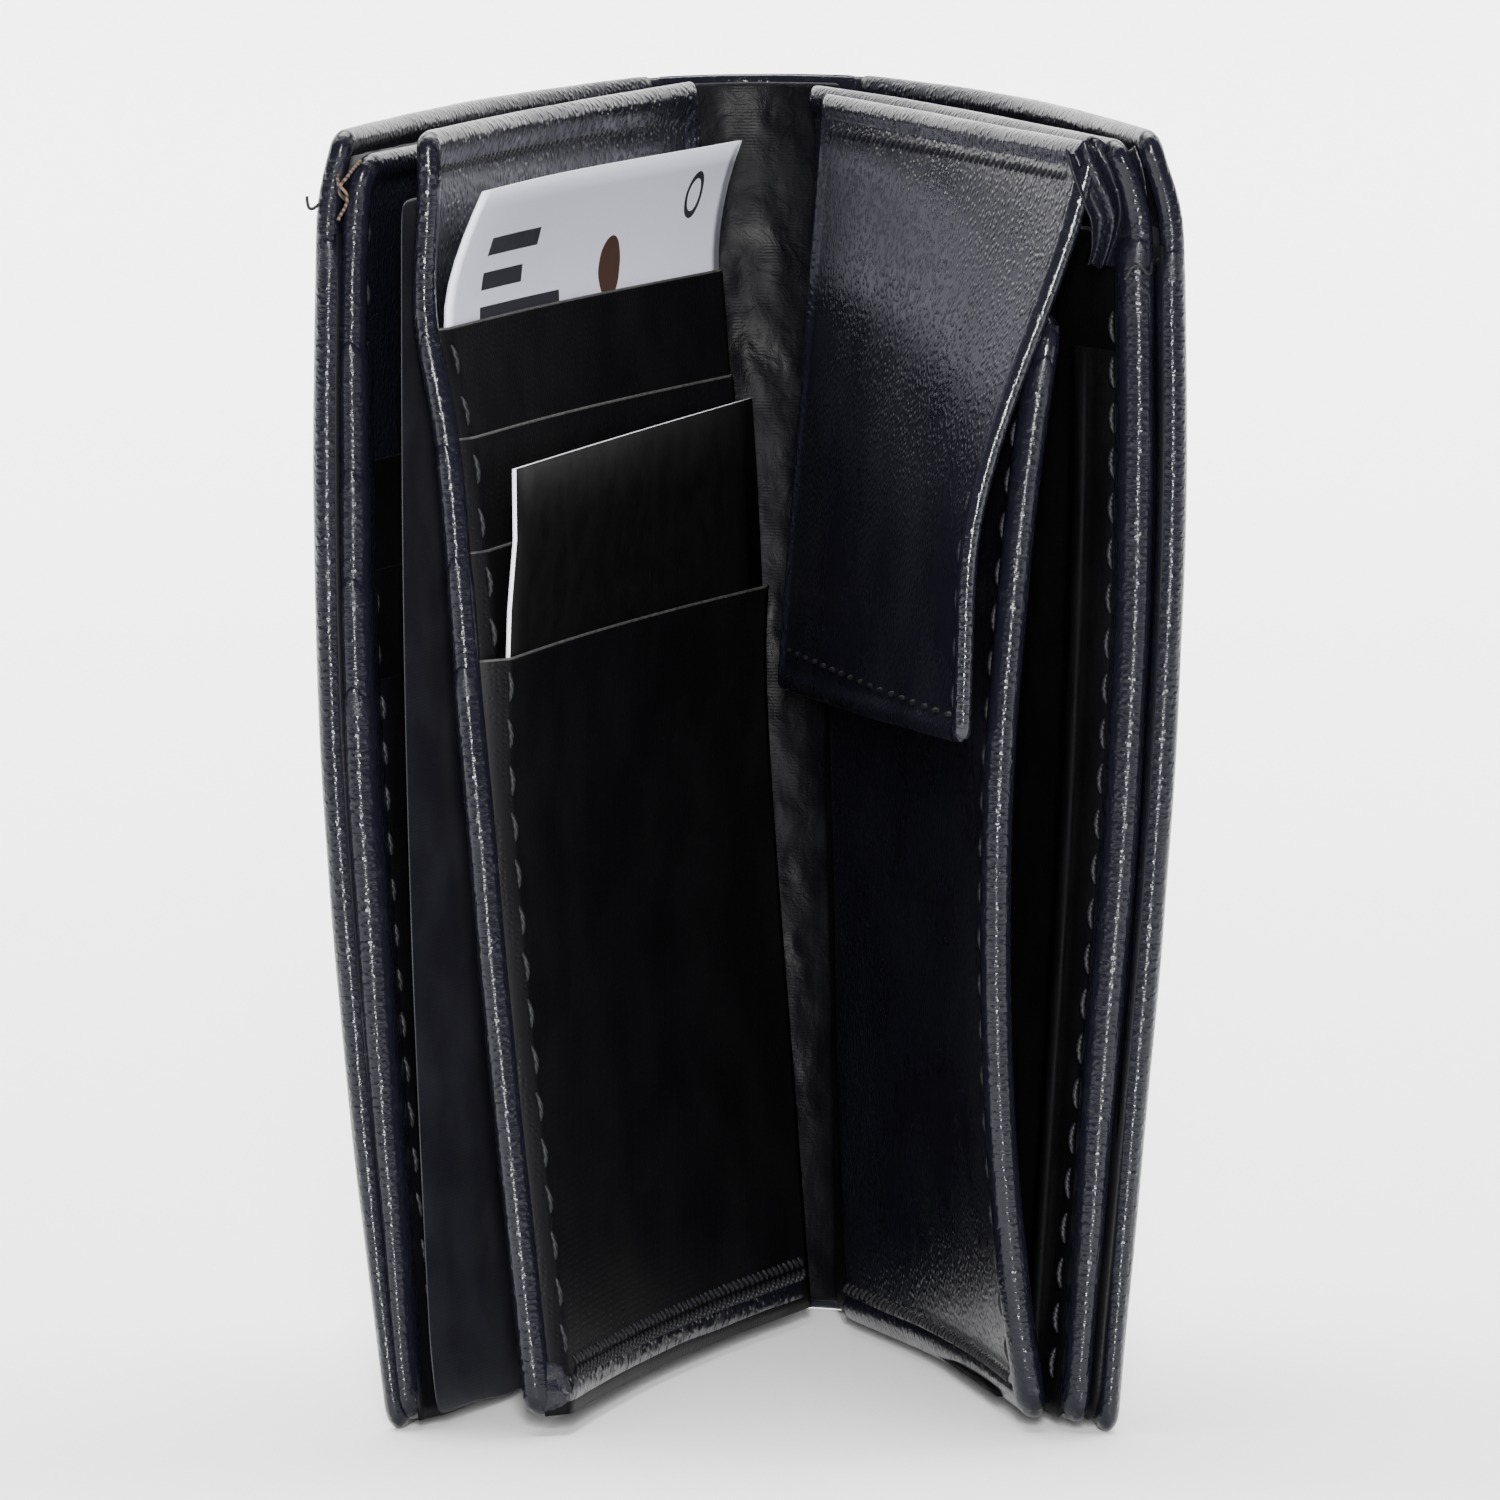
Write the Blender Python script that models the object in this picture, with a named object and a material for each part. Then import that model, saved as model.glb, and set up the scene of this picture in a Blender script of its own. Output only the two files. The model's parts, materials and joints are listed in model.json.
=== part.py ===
"""Portrait leather wallet with a turning card leaf and a flap coin pocket, standing ajar on its lower edges.

Run with blender --background --python part.py. Metres, +Z up, the spine at the back (+Y) and the opening
towards -Y. The origin is the middle of the object's box, on the surface it stands on.

Each half is laid out in its own frame, held by an empty on its fold: X runs from the fold to the fore edge,
Z runs up the fold, and the layers are stacked inwards from the outer face of the cover. A piece is given by
how far from the fold it starts and ends, how high it is, and how deep in the stack it lies.
"""

import math

import bmesh
import bpy
from mathutils import Matrix, Vector

MM = 0.001

# Driving sizes of the whole wallet
HEIGHT = 125.0 * MM
FOLD_TO_EDGE = 93.0 * MM
CARD_WIDTH = 85.6 * MM
CARD_HEIGHT = 54.0 * MM
GAP = 0.1 * MM

# How the two halves stand: the foot of each fold, the swing from straight ahead and the outward lean
LEFT_FOOT = Vector((-4.0, 42.5, 0.0)) * MM
LEFT_SWING = math.radians(19.5)
LEFT_LEAN = math.radians(3.2)
RIGHT_FOOT = Vector((12.5, 42.5, 0.0)) * MM
RIGHT_SWING = math.radians(15.5)
RIGHT_LEAN = math.radians(2.0)
SPINE_BULGE = 5.6 * MM
SPINE_COLUMNS = 12
SPINE_LEVELS = 3
FOLD_CLEARANCE = 1.4 * MM
LINING_CLEARANCE = 2.2 * FOLD_CLEARANCE

# Thicknesses
COVER_LEATHER = 1.2 * MM
FOIL = 0.2 * MM
LINING = 0.4 * MM
PANEL_LEATHER = 0.6 * MM
SLOT_LEATHER = 0.4 * MM
NYLON = 0.25 * MM

# Depth of each layer's outer face, measured inwards from the outer face of the cover
FOIL_DEPTH = COVER_LEATHER + GAP
LINING_DEPTH = FOIL_DEPTH + FOIL + GAP
SLIP_DEPTH = LINING_DEPTH + LINING + GAP
PANEL_DEPTH = SLIP_DEPTH + PANEL_LEATHER + 2 * GAP
FIRST_SLOT_DEPTH = PANEL_DEPTH + SLOT_LEATHER + GAP

FOOT_GAP = 0.8 * MM
INNER_TOP = 124.2 * MM
LOW_CORNER = 4.0 * MM
HIGH_CORNER = 3.0 * MM
CORNER_STEPS = 4

# The slip pocket behind each panel, and the panels stitched to the covers
SLIP_MOUTHS = {-1: 115.0 * MM, 1: 114.0 * MM}
PANEL_START = 3.0 * MM
PANEL_END = 92.3 * MM
SLOTS_START = 13.0 * MM

# Card slots: the height of each slot's mouth, and how far its pocket reaches down
PANEL_SLOT_MOUTHS = [105.0 * MM, 93.0 * MM, 82.5 * MM, 72.0 * MM]
LEAF_SLOT_MOUTHS = [105.5 * MM, 94.9 * MM, 84.0 * MM, 73.6 * MM]
SLOT_POCKET = 51.0 * MM

# The turning card leaf, in the frame of its own hinge
LEAF_HINGE = (3.0 * MM, 8.6 * MM)
LEAF_TURN = math.radians(3.3)
LEAF_LEAN = math.radians(1.5)
LEAF_WIDTH = 89.0 * MM
LEAF_HEIGHT = 124.0 * MM
LEAF_CARD_EDGE = 0.8 * MM
INSERT_THICKNESS = 0.5 * MM
INSERT_TOP = 119.0 * MM
CARD_THICKNESS = 0.7 * MM
CARD_TOP = 92.4 * MM

# The nylon divider between the left panel and the leaf
DIVIDER_HINGE = (14.0 * MM, 5.55 * MM)
DIVIDER_TURN = math.radians(1.1)
DIVIDER_WIDTH = 77.0 * MM
DIVIDER_HEIGHT = 118.0 * MM

# The coin pocket on the right half
COIN_HINGE = (11.5 * MM, 4.8 * MM)
COIN_TURN = math.radians(5.7)
COIN_WIDTH = 79.0 * MM
COIN_MOUTH = 107.0 * MM
COIN_STRIP_MOUTH = 103.5 * MM
GUSSET_EDGE = 88.0 * MM
GUSSET_FOLD = 78.5 * MM
GUSSET_WALL = 0.5 * MM
GUSSET_REACH = 4.2 * MM

# The flap that closes the coin pocket
FLAP_START = 12.0 * MM
FLAP_END = 90.5 * MM
FLAP_HINGE_HEIGHT = 121.5 * MM
FLAP_HINGE_DEPTH = 4.6 * MM
FLAP_LOW = 66.0 * MM
FLAP_SPINE_DEPTH = 8.6 * MM
FLAP_EDGE_DEPTH = 6.2 * MM
FLAP_THROW = 15.4 * MM
FLAP_ROLL = 13.0 * MM
FLAP_LEATHER = 0.9 * MM
FLAP_GAP = 0.3 * MM

# The press stud under the flap
SNAP_ALONG = 47.0 * MM
SNAP_HEIGHT = 80.0 * MM
SNAP_RADIUS = 5.0 * MM
SNAP_SIDES = 20


class Frame:
    """A half's or a hinged piece's own axes, with an empty on its hinge that its pieces are parented to."""

    def __init__(self, name, origin, along, inward, up):
        self.origin = origin
        self.along = along
        self.inward = inward
        self.up = up
        self.handed = 1 if along.cross(inward).dot(up) > 0 else -1
        self.empty = bpy.data.objects.new(name, None)
        self.empty.matrix_world = Matrix.Translation(origin) @ Matrix(
            (along, inward * self.handed, up)
        ).transposed().to_4x4()
        bpy.context.scene.collection.objects.link(self.empty)

    def turned(self, name, hinge, angle, lean=0.0):
        """A frame on a hinge at this fold, leaning outwards from its foot and turned inwards by an angle."""
        start, depth = hinge
        origin = self.origin + self.along * start + self.inward * depth
        up = self.up * math.cos(lean) - self.inward * math.sin(lean)
        inward = self.inward * math.cos(lean) + self.up * math.sin(lean)
        spin = Matrix.Rotation(angle * self.handed, 3, up)
        return Frame(name, origin, spin @ self.along, spin @ inward, up)

    def moved(self, name, start, depth, height):
        """A frame with the same axes on another hinge point."""
        origin = self.origin + self.along * start + self.inward * depth + self.up * height
        return Frame(name, origin, self.along, self.inward, self.up)

    def local(self, start, depth, height):
        """Coordinates under the empty of a point given along the half, inwards and up."""
        return Vector((start, depth * self.handed, height))


def standing_frame(name, side, foot, swing, lean):
    """The frame of one half, swung open from straight ahead and leaning outwards. side is -1 left, 1 right."""
    along = Vector((side * math.sin(swing), -math.cos(swing), 0.0))
    level = Vector((-side * math.cos(swing), -math.sin(swing), 0.0))
    upright = Vector((0.0, 0.0, 1.0))
    up = upright * math.cos(lean) - level * math.sin(lean)
    inward = level * math.cos(lean) + upright * math.sin(lean)
    return Frame(name, foot, along, inward, up)


def make_material(name, colour, roughness, metallic=0.0):
    """A Principled material in one colour."""
    material = bpy.data.materials.new(name)
    material.use_nodes = True
    shader = material.node_tree.nodes["Principled BSDF"]
    shader.inputs["Base Color"].default_value = (*colour, 1.0)
    shader.inputs["Roughness"].default_value = roughness
    shader.inputs["Metallic"].default_value = metallic
    return material


def arc(centre, radius, start, end):
    """Points on a quarter round corner, from one angle to another."""
    turn = (end - start) / CORNER_STEPS
    angles = [start + turn * step for step in range(CORNER_STEPS + 1)]
    return [(centre[0] + radius * math.cos(a), centre[1] + radius * math.sin(a)) for a in angles]


def outline(start, end, low, high, low_corner=0.0, high_corner=0.0):
    """A panel's outline, square at the fold and with its two fore-edge corners rounded."""
    points = [(start, low)]
    if low_corner:
        points += arc((end - low_corner, low + low_corner), low_corner, -math.pi / 2, 0.0)
    else:
        points.append((end, low))
    if high_corner:
        points += arc((end - high_corner, high - high_corner), high_corner, 0.0, math.pi / 2)
    else:
        points.append((end, high))
    points.append((start, high))
    return points


def finish(name, bm, frame, material, sharp_degrees=30.0):
    """Turns a bmesh in a frame's local coordinates into a named object parented to that frame's empty."""
    bmesh.ops.recalc_face_normals(bm, faces=bm.faces[:])
    mesh = bpy.data.meshes.new(name)
    bm.to_mesh(mesh)
    bm.free()
    mesh.materials.append(material)
    mesh.shade_smooth()
    mesh.set_sharp_from_angle(angle=math.radians(sharp_degrees))
    piece = bpy.data.objects.new(name, mesh)
    piece.parent = frame.empty
    bpy.context.scene.collection.objects.link(piece)
    return piece


def sheet(name, frame, edge, depth, thickness, material):
    """A flat sheet with the given outline, its outer face at a depth in the stack."""
    bm = bmesh.new()
    bm.faces.new([bm.verts.new(frame.local(u, depth, z)) for u, z in edge])
    grown = bmesh.ops.extrude_face_region(bm, geom=bm.faces[:])["geom"]
    inwards = frame.local(0.0, thickness, 0.0)
    bmesh.ops.translate(bm, verts=[g for g in grown if isinstance(g, bmesh.types.BMVert)], vec=inwards)
    return finish(name, bm, frame, material)


def skin(name, frame, rows, thickness, material):
    """A curved sheet through rows of (start, depth, height) points, thickened outwards from those points."""
    bm = bmesh.new()
    grid = [[bm.verts.new(frame.local(*point)) for point in row] for row in rows]
    for lower, upper in zip(grid, grid[1:]):
        for a, b, c, d in zip(lower, lower[1:], upper[1:], upper):
            bm.faces.new((a, b, c, d))
    grown = bmesh.ops.extrude_face_region(bm, geom=bm.faces[:])["geom"]
    outwards = frame.local(0.0, -thickness, 0.0)
    bmesh.ops.translate(bm, verts=[g for g in grown if isinstance(g, bmesh.types.BMVert)], vec=outwards)
    return finish(name, bm, frame, material)


def strut(name, frame, section, low, high, material):
    """A straight piece with a (start, depth) section, from one height to another."""
    bm = bmesh.new()
    bm.faces.new([bm.verts.new(frame.local(u, w, low)) for u, w in section])
    grown = bmesh.ops.extrude_face_region(bm, geom=bm.faces[:])["geom"]
    rise = Vector((0.0, 0.0, high - low))
    bmesh.ops.translate(bm, verts=[g for g in grown if isinstance(g, bmesh.types.BMVert)], vec=rise)
    return finish(name, bm, frame, material)


def button(name, frame, centre, profile, material):
    """A round piece turned about the stack's own direction, from (radius, depth) points on its profile."""
    bm = bmesh.new()
    along, height = centre
    points = [bm.verts.new(frame.local(along + r, w, height)) for r, w in profile]
    edges = [bm.edges.new(pair) for pair in zip(points, points[1:])]
    bmesh.ops.spin(
        bm,
        geom=points + edges,
        cent=frame.local(along, 0.0, height),
        axis=(0.0, 1.0, 0.0),
        angle=2 * math.pi,
        steps=SNAP_SIDES,
    )
    bmesh.ops.remove_doubles(bm, verts=bm.verts[:], dist=0.01 * MM)
    return finish(name, bm, frame, material)


def spine_shell(name, left, right, inset, thickness, clearance, low, high, material):
    """The curved back between the two folds, an arc at every height, standing in the world's own axes."""
    columns, levels = SPINE_COLUMNS, SPINE_LEVELS
    bm = bmesh.new()
    layers = []
    for depth in (inset, inset + thickness):
        grid = []
        for level in range(levels + 1):
            height = low + (high - low) * level / levels
            start, end = left.origin + left.up * height, right.origin + right.up * height
            chord = end - start
            margin = clearance / chord.length
            row = []
            for column in range(columns + 1):
                t = margin + (1 - 2 * margin) * column / columns
                bulge = 4 * SPINE_BULGE * t * (1 - t)
                slope = math.atan2(4 * SPINE_BULGE * (1 - 2 * t), chord.length)
                point = start + chord * t + Vector((0.0, bulge, 0.0))
                point += Vector((math.sin(slope), -math.cos(slope), 0.0)) * depth
                row.append(bm.verts.new((point.x, point.y, height)))
            grid.append(row)
        layers.append(grid)
    outer, inner = layers
    for level in range(levels):
        for column in range(columns):
            for grid in layers:
                bm.faces.new((
                    grid[level][column],
                    grid[level][column + 1],
                    grid[level + 1][column + 1],
                    grid[level + 1][column],
                ))
    for level in range(levels):
        for column in (0, columns):
            bm.faces.new((
                outer[level][column],
                outer[level + 1][column],
                inner[level + 1][column],
                inner[level][column],
            ))
    for column in range(columns):
        for level in (0, levels):
            bm.faces.new((
                outer[level][column],
                outer[level][column + 1],
                inner[level][column + 1],
                inner[level][column],
            ))
    world = Frame(name + "_axes", Vector(), Vector((1, 0, 0)), Vector((0, 1, 0)), Vector((0, 0, 1)))
    return finish(name, bm, world, material)


def cover_half(side, frame, leather, foil, lining):
    """The outer leather of one half with its shielding foil, lining and slip pocket."""
    half = "left" if side < 0 else "right"
    whole = outline(0.9 * MM, FOLD_TO_EDGE, 0.0, HEIGHT, LOW_CORNER, HIGH_CORNER)
    sheet(half + "_cover_leather", frame, whole, 0.0, COVER_LEATHER, leather)
    shield = outline(6.0 * MM, 88.0 * MM, 6.0 * MM, 117.0 * MM)
    sheet(half + "_shielding_foil", frame, shield, FOIL_DEPTH, FOIL, foil)
    inner = outline(2.0 * MM, 92.2 * MM, FOOT_GAP, INNER_TOP, LOW_CORNER, HIGH_CORNER)
    sheet(half + "_cover_lining", frame, inner, LINING_DEPTH, LINING, lining)
    slip = outline(2.5 * MM, 92.5 * MM, FOOT_GAP, SLIP_MOUTHS[side], LOW_CORNER)
    sheet(half + "_slip_pocket", frame, slip, SLIP_DEPTH, PANEL_LEATHER, leather)


def left_panel(frame, leather):
    """The card panel stitched behind the leaf: a base and four stepped slots."""
    base = outline(PANEL_START, PANEL_END, FOOT_GAP, 122.5 * MM, LOW_CORNER, HIGH_CORNER)
    sheet("left_panel_base", frame, base, PANEL_DEPTH, SLOT_LEATHER, leather)
    for number, mouth in enumerate(PANEL_SLOT_MOUTHS, 1):
        last = number == len(PANEL_SLOT_MOUTHS)
        low = FOOT_GAP if last else mouth - SLOT_POCKET
        edge = outline(SLOTS_START, PANEL_END, low, mouth, LOW_CORNER if last else 0.0)
        depth = FIRST_SLOT_DEPTH + (number - 1) * (SLOT_LEATHER + GAP)
        sheet(f"left_panel_slot_{number}", frame, edge, depth, SLOT_LEATHER, leather)


def divider(left, nylon):
    """The thin nylon sheet that hangs free between the panel and the leaf."""
    frame = left.turned("divider_hinge", DIVIDER_HINGE, DIVIDER_TURN)
    edge = outline(0.0, DIVIDER_WIDTH, FOOT_GAP, DIVIDER_HEIGHT, LOW_CORNER, HIGH_CORNER)
    sheet("nylon_divider", frame, edge, 0.0, NYLON, nylon)
    return frame


def card_leaf(left, leather, card_white, card_black):
    """The turning leaf: back, face and four slots, with a paper insert in the first and a card in the last."""
    frame = left.turned("leaf_hinge", LEAF_HINGE, LEAF_TURN, LEAF_LEAN)
    whole = outline(0.0, LEAF_WIDTH, FOOT_GAP, LEAF_HEIGHT, LOW_CORNER, HIGH_CORNER)
    depth = 0.0
    sheet("leaf_back", frame, whole, depth, PANEL_LEATHER, leather)
    depth += PANEL_LEATHER + GAP
    sheet("leaf_face", frame, whole, depth, PANEL_LEATHER, leather)
    depth += PANEL_LEATHER + 1.5 * GAP
    insert_depth = depth
    depth += INSERT_THICKNESS + 1.5 * GAP
    for number, mouth in enumerate(LEAF_SLOT_MOUTHS, 1):
        last = number == len(LEAF_SLOT_MOUTHS)
        if last:
            card_depth = depth + 0.5 * GAP
            depth = card_depth + CARD_THICKNESS + 1.5 * GAP
        low = FOOT_GAP if last else mouth - SLOT_POCKET
        edge = outline(0.4 * MM, LEAF_WIDTH, low, mouth, LOW_CORNER if last else 0.0)
        sheet(f"leaf_slot_{number}", frame, edge, depth, SLOT_LEATHER, leather)
        depth += SLOT_LEATHER + GAP
    card_end = LEAF_CARD_EDGE + CARD_WIDTH
    insert = outline(LEAF_CARD_EDGE, card_end, INSERT_TOP - CARD_HEIGHT, INSERT_TOP)
    sheet("paper_insert", frame, insert, insert_depth, INSERT_THICKNESS, card_white)
    card = outline(LEAF_CARD_EDGE, card_end, CARD_TOP - CARD_HEIGHT, CARD_TOP)
    sheet("black_card", frame, card, card_depth, CARD_THICKNESS, card_black)
    return frame


def right_panel(frame, leather, nylon):
    """The panel behind the coin pocket, its slip pocket, and the pocket's two gussets."""
    base = outline(PANEL_START, PANEL_END, FOOT_GAP, 124.0 * MM, LOW_CORNER, HIGH_CORNER)
    sheet("right_panel_base", frame, base, PANEL_DEPTH, PANEL_LEATHER, leather)
    pocket = outline(4.0 * MM, PANEL_END, FOOT_GAP, 115.0 * MM, LOW_CORNER)
    pocket_depth = PANEL_DEPTH + PANEL_LEATHER + GAP
    sheet("right_panel_pocket", frame, pocket, pocket_depth, PANEL_LEATHER, leather)
    face = pocket_depth + PANEL_LEATHER + 2 * GAP
    fold = [
        (GUSSET_EDGE, face),
        (GUSSET_EDGE, face + GUSSET_WALL),
        (GUSSET_FOLD + 2 * GUSSET_WALL, face + GUSSET_REACH / 2),
        (GUSSET_EDGE, face + GUSSET_REACH - GUSSET_WALL),
        (GUSSET_EDGE, face + GUSSET_REACH),
        (GUSSET_FOLD, face + GUSSET_REACH / 2 + GUSSET_WALL / 2),
        (GUSSET_FOLD, face + GUSSET_REACH / 2 - GUSSET_WALL / 2),
    ]
    strut("coin_pocket_fore_gusset", frame, fold, 3.0 * MM, COIN_STRIP_MOUTH, nylon)
    foot = [(28.0 * MM, face), (76.0 * MM, face), (76.0 * MM, face + GUSSET_REACH), (28.0 * MM, face + 0.6 * MM)]
    strut("coin_pocket_bottom_gusset", frame, foot, 1.4 * MM, 2.0 * MM, nylon)


def coin_front(right, leather, lining, metal):
    """The front of the coin pocket: lining, leather, an open strip on it, and the stud of the snap."""
    frame = right.turned("coin_front_hinge", COIN_HINGE, COIN_TURN)
    back = outline(0.5 * MM, COIN_WIDTH - 1.0 * MM, 2.2 * MM, COIN_MOUTH - 1.0 * MM, LOW_CORNER)
    sheet("coin_pocket_lining", frame, back, 0.0, 0.3 * MM, lining)
    depth = 0.3 * MM + GAP
    face = outline(0.0, COIN_WIDTH, FOOT_GAP, COIN_MOUTH, LOW_CORNER)
    sheet("coin_pocket_front", frame, face, depth, PANEL_LEATHER, leather)
    depth += PANEL_LEATHER + GAP
    strip = outline(0.0, COIN_WIDTH, FOOT_GAP, COIN_STRIP_MOUTH, LOW_CORNER)
    sheet("coin_pocket_front_strip", frame, strip, depth, SLOT_LEATHER, leather)
    depth += SLOT_LEATHER + GAP
    stud = [
        (0.0, depth),
        (SNAP_RADIUS, depth),
        (SNAP_RADIUS, depth + 0.35 * MM),
        (1.7 * MM, depth + 0.55 * MM),
        (1.9 * MM, depth + 1.1 * MM),
        (0.0, depth + 1.25 * MM),
    ]
    centre = (SNAP_ALONG - COIN_HINGE[0], SNAP_HEIGHT)
    button("snap_stud", frame, centre, stud, metal)
    return frame


def flap_depth(start, height):
    """Depth of the flap's inner face: it rolls off its hinge, over the mouth, and swings out at the fore edge."""
    drop = FLAP_HINGE_HEIGHT - height
    edge = FLAP_EDGE_DEPTH + FLAP_THROW * (1 - math.exp(-drop / FLAP_ROLL))
    return FLAP_SPINE_DEPTH + (edge - FLAP_SPINE_DEPTH) * start / FLAP_END


def coin_flap(right, leather, lining, metal):
    """The flap over the pocket's mouth: leather, lining, and the socket of the snap on its inside."""
    frame = right.moved("flap_hinge", 0.0, FLAP_HINGE_DEPTH, FLAP_HINGE_HEIGHT)
    drops = [0.0, 3.0, 7.0, 11.0, 16.0, 23.0, 32.0, 43.0, 55.5]
    starts = [FLAP_START + (FLAP_END - FLAP_START) * step / 4 for step in range(5)]

    def rows(under, inset):
        """Points on a face of the flap, a distance under its inner face, with its free edges pulled in."""
        made = []
        for drop in drops:
            height = max(FLAP_HINGE_HEIGHT - drop * MM, FLAP_LOW + inset)
            line = []
            for start in starts:
                kept = min(max(start, FLAP_START + inset), FLAP_END - inset)
                depth = flap_depth(start, height) - under - FLAP_HINGE_DEPTH
                line.append((kept, depth, height - FLAP_HINGE_HEIGHT))
            made.append(line)
        return made

    skin("flap_leather", frame, rows(0.0, 0.0), FLAP_LEATHER, leather)
    skin("flap_lining", frame, rows(FLAP_LEATHER + FLAP_GAP, 1.0 * MM), 0.3 * MM, lining)
    under = flap_depth(SNAP_ALONG, SNAP_HEIGHT) - FLAP_LEATHER - FLAP_HINGE_DEPTH - 1.6 * MM
    socket = [
        (2.4 * MM, under),
        (SNAP_RADIUS, under),
        (SNAP_RADIUS, under - 0.9 * MM),
        (2.4 * MM, under - 0.9 * MM),
        (2.4 * MM, under),
    ]
    button("snap_socket", frame, (SNAP_ALONG, SNAP_HEIGHT - FLAP_HINGE_HEIGHT), socket, metal)
    return frame


def clear_scene():
    """Removes whatever the scene holds."""
    for obj in list(bpy.data.objects):
        bpy.data.objects.remove(obj)


def main():
    """Builds the wallet."""
    clear_scene()
    leather = make_material("black_leather", (0.012, 0.012, 0.016), 0.42)
    foil = make_material("shielding_foil", (0.62, 0.63, 0.65), 0.35, 1.0)
    lining = make_material("black_lining", (0.016, 0.016, 0.02), 0.7)
    nylon = make_material("black_nylon", (0.02, 0.02, 0.026), 0.6)
    metal = make_material("snap_metal", (0.55, 0.55, 0.57), 0.3, 1.0)
    card_white = make_material("insert_paper", (0.78, 0.78, 0.82), 0.6)
    card_black = make_material("card_black", (0.015, 0.014, 0.015), 0.45)

    left = standing_frame("left_fold", -1, LEFT_FOOT, LEFT_SWING, LEFT_LEAN)
    right = standing_frame("right_fold", 1, RIGHT_FOOT, RIGHT_SWING, RIGHT_LEAN)
    lining_inset = COVER_LEATHER + 3 * GAP
    spine_shell("spine_leather", left, right, 0.0, COVER_LEATHER, FOLD_CLEARANCE, 0.0, HEIGHT, leather)
    spine_shell(
        "spine_lining", left, right, lining_inset, LINING, LINING_CLEARANCE, FOOT_GAP, INNER_TOP, lining
    )
    cover_half(-1, left, leather, foil, lining)
    left_panel(left, leather)
    divider(left, nylon)
    card_leaf(left, leather, card_white, card_black)
    cover_half(1, right, leather, foil, lining)
    right_panel(right, leather, nylon)
    coin_front(right, leather, lining, metal)
    coin_flap(right, leather, lining, metal)


main()
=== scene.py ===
"""Looks of an upright leather wallet: grained covers, rolled and stitched edges, hems, slots, cards and lining.

Every leather panel is a grid laid out flat in the axes of its own hinge (along the half, into the stack, up
the fold), given a rolled edge, and then bowed the way that the standing wallet bows.
"""

import json
import logging
import math
from collections.abc import Callable, Iterator, Sequence
from contextlib import contextmanager
from dataclasses import dataclass
from enum import Enum

import bpy
import numpy as np
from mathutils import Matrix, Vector, noise

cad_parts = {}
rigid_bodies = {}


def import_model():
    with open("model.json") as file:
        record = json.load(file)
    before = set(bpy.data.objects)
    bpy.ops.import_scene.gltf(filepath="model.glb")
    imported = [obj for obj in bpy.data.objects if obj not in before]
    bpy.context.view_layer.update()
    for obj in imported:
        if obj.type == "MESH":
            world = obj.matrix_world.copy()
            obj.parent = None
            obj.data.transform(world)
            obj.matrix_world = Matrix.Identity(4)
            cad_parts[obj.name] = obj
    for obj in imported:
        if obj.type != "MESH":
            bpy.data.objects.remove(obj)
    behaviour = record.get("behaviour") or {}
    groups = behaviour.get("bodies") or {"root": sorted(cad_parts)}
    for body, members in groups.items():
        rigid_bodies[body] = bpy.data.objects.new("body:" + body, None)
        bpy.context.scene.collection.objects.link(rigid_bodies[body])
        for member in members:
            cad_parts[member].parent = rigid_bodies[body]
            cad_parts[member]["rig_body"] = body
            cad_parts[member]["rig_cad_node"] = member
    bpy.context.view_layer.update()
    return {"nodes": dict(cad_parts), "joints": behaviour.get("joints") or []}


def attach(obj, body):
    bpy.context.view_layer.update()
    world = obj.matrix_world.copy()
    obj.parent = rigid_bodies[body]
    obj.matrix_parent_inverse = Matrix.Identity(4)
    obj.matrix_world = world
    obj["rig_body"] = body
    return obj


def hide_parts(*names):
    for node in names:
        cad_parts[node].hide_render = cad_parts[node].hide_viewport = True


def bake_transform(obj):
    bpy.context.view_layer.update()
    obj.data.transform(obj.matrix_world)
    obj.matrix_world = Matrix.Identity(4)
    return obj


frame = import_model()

MM = 0.001
Array = np.ndarray
Shape = Callable[[Array, Array], Array]
log = logging.getLogger("wallet")

# Sizes that the halves share
HEIGHT = 125.0 * MM
COVER_LENGTH = 93.0 * MM
LEAF_LENGTH = 89.0 * MM
COIN_LENGTH = 79.0 * MM
COIN_MOUTH = 107.0 * MM
PANEL_MOUTHS = (105.0 * MM, 93.0 * MM, 82.5 * MM, 72.0 * MM)
LEAF_MOUTHS = (105.5 * MM, 94.9 * MM, 84.0 * MM, 73.6 * MM)
STITCH_PITCH = 4.3 * MM
STITCH_LENGTH = 3.1 * MM
THREAD_RADIUS = 0.28 * MM


# ---------------------------------------------------------------------------------------------------------
# Small helpers


def linear(code: str) -> tuple[float, float, float, float]:
    """Turns an sRGB hex colour into the linear values that shaders take.

    Args:
        code: the colour as #rrggbb.

    Returns:
        Red, green, blue and an alpha of 1.
    """
    parts = [int(code[i : i + 2], 16) / 255 for i in (1, 3, 5)]
    return (*(c / 12.92 if c <= 0.04045 else ((c + 0.055) / 1.055) ** 2.4 for c in parts), 1.0)


def smooth(value: Array, low: float, high: float) -> Array:
    """A soft step from 0 at low to 1 at high."""
    t = np.clip((value - low) / (high - low), 0.0, 1.0)
    return t * t * (3 - 2 * t)


def unit(values: Sequence[float]) -> Array:
    """The direction of a vector, at length 1."""
    v = np.array(values, float)
    return v / np.linalg.norm(v)


def select_only(obj: bpy.types.Object) -> None:
    """Makes one object the only selected and the active one.

    Args:
        obj: the object to select.
    """
    for other in bpy.context.selected_objects:
        other.select_set(False)
    obj.select_set(True)
    bpy.context.view_layer.objects.active = obj


def positions(obj: bpy.types.Object) -> Array:
    """The object's vertex positions as an array of rows.

    Args:
        obj: the object.

    Returns:
        The positions, one row per vertex.
    """
    co = np.zeros(len(obj.data.vertices) * 3)
    obj.data.vertices.foreach_get("co", co)
    return co.reshape(-1, 3)


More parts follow.
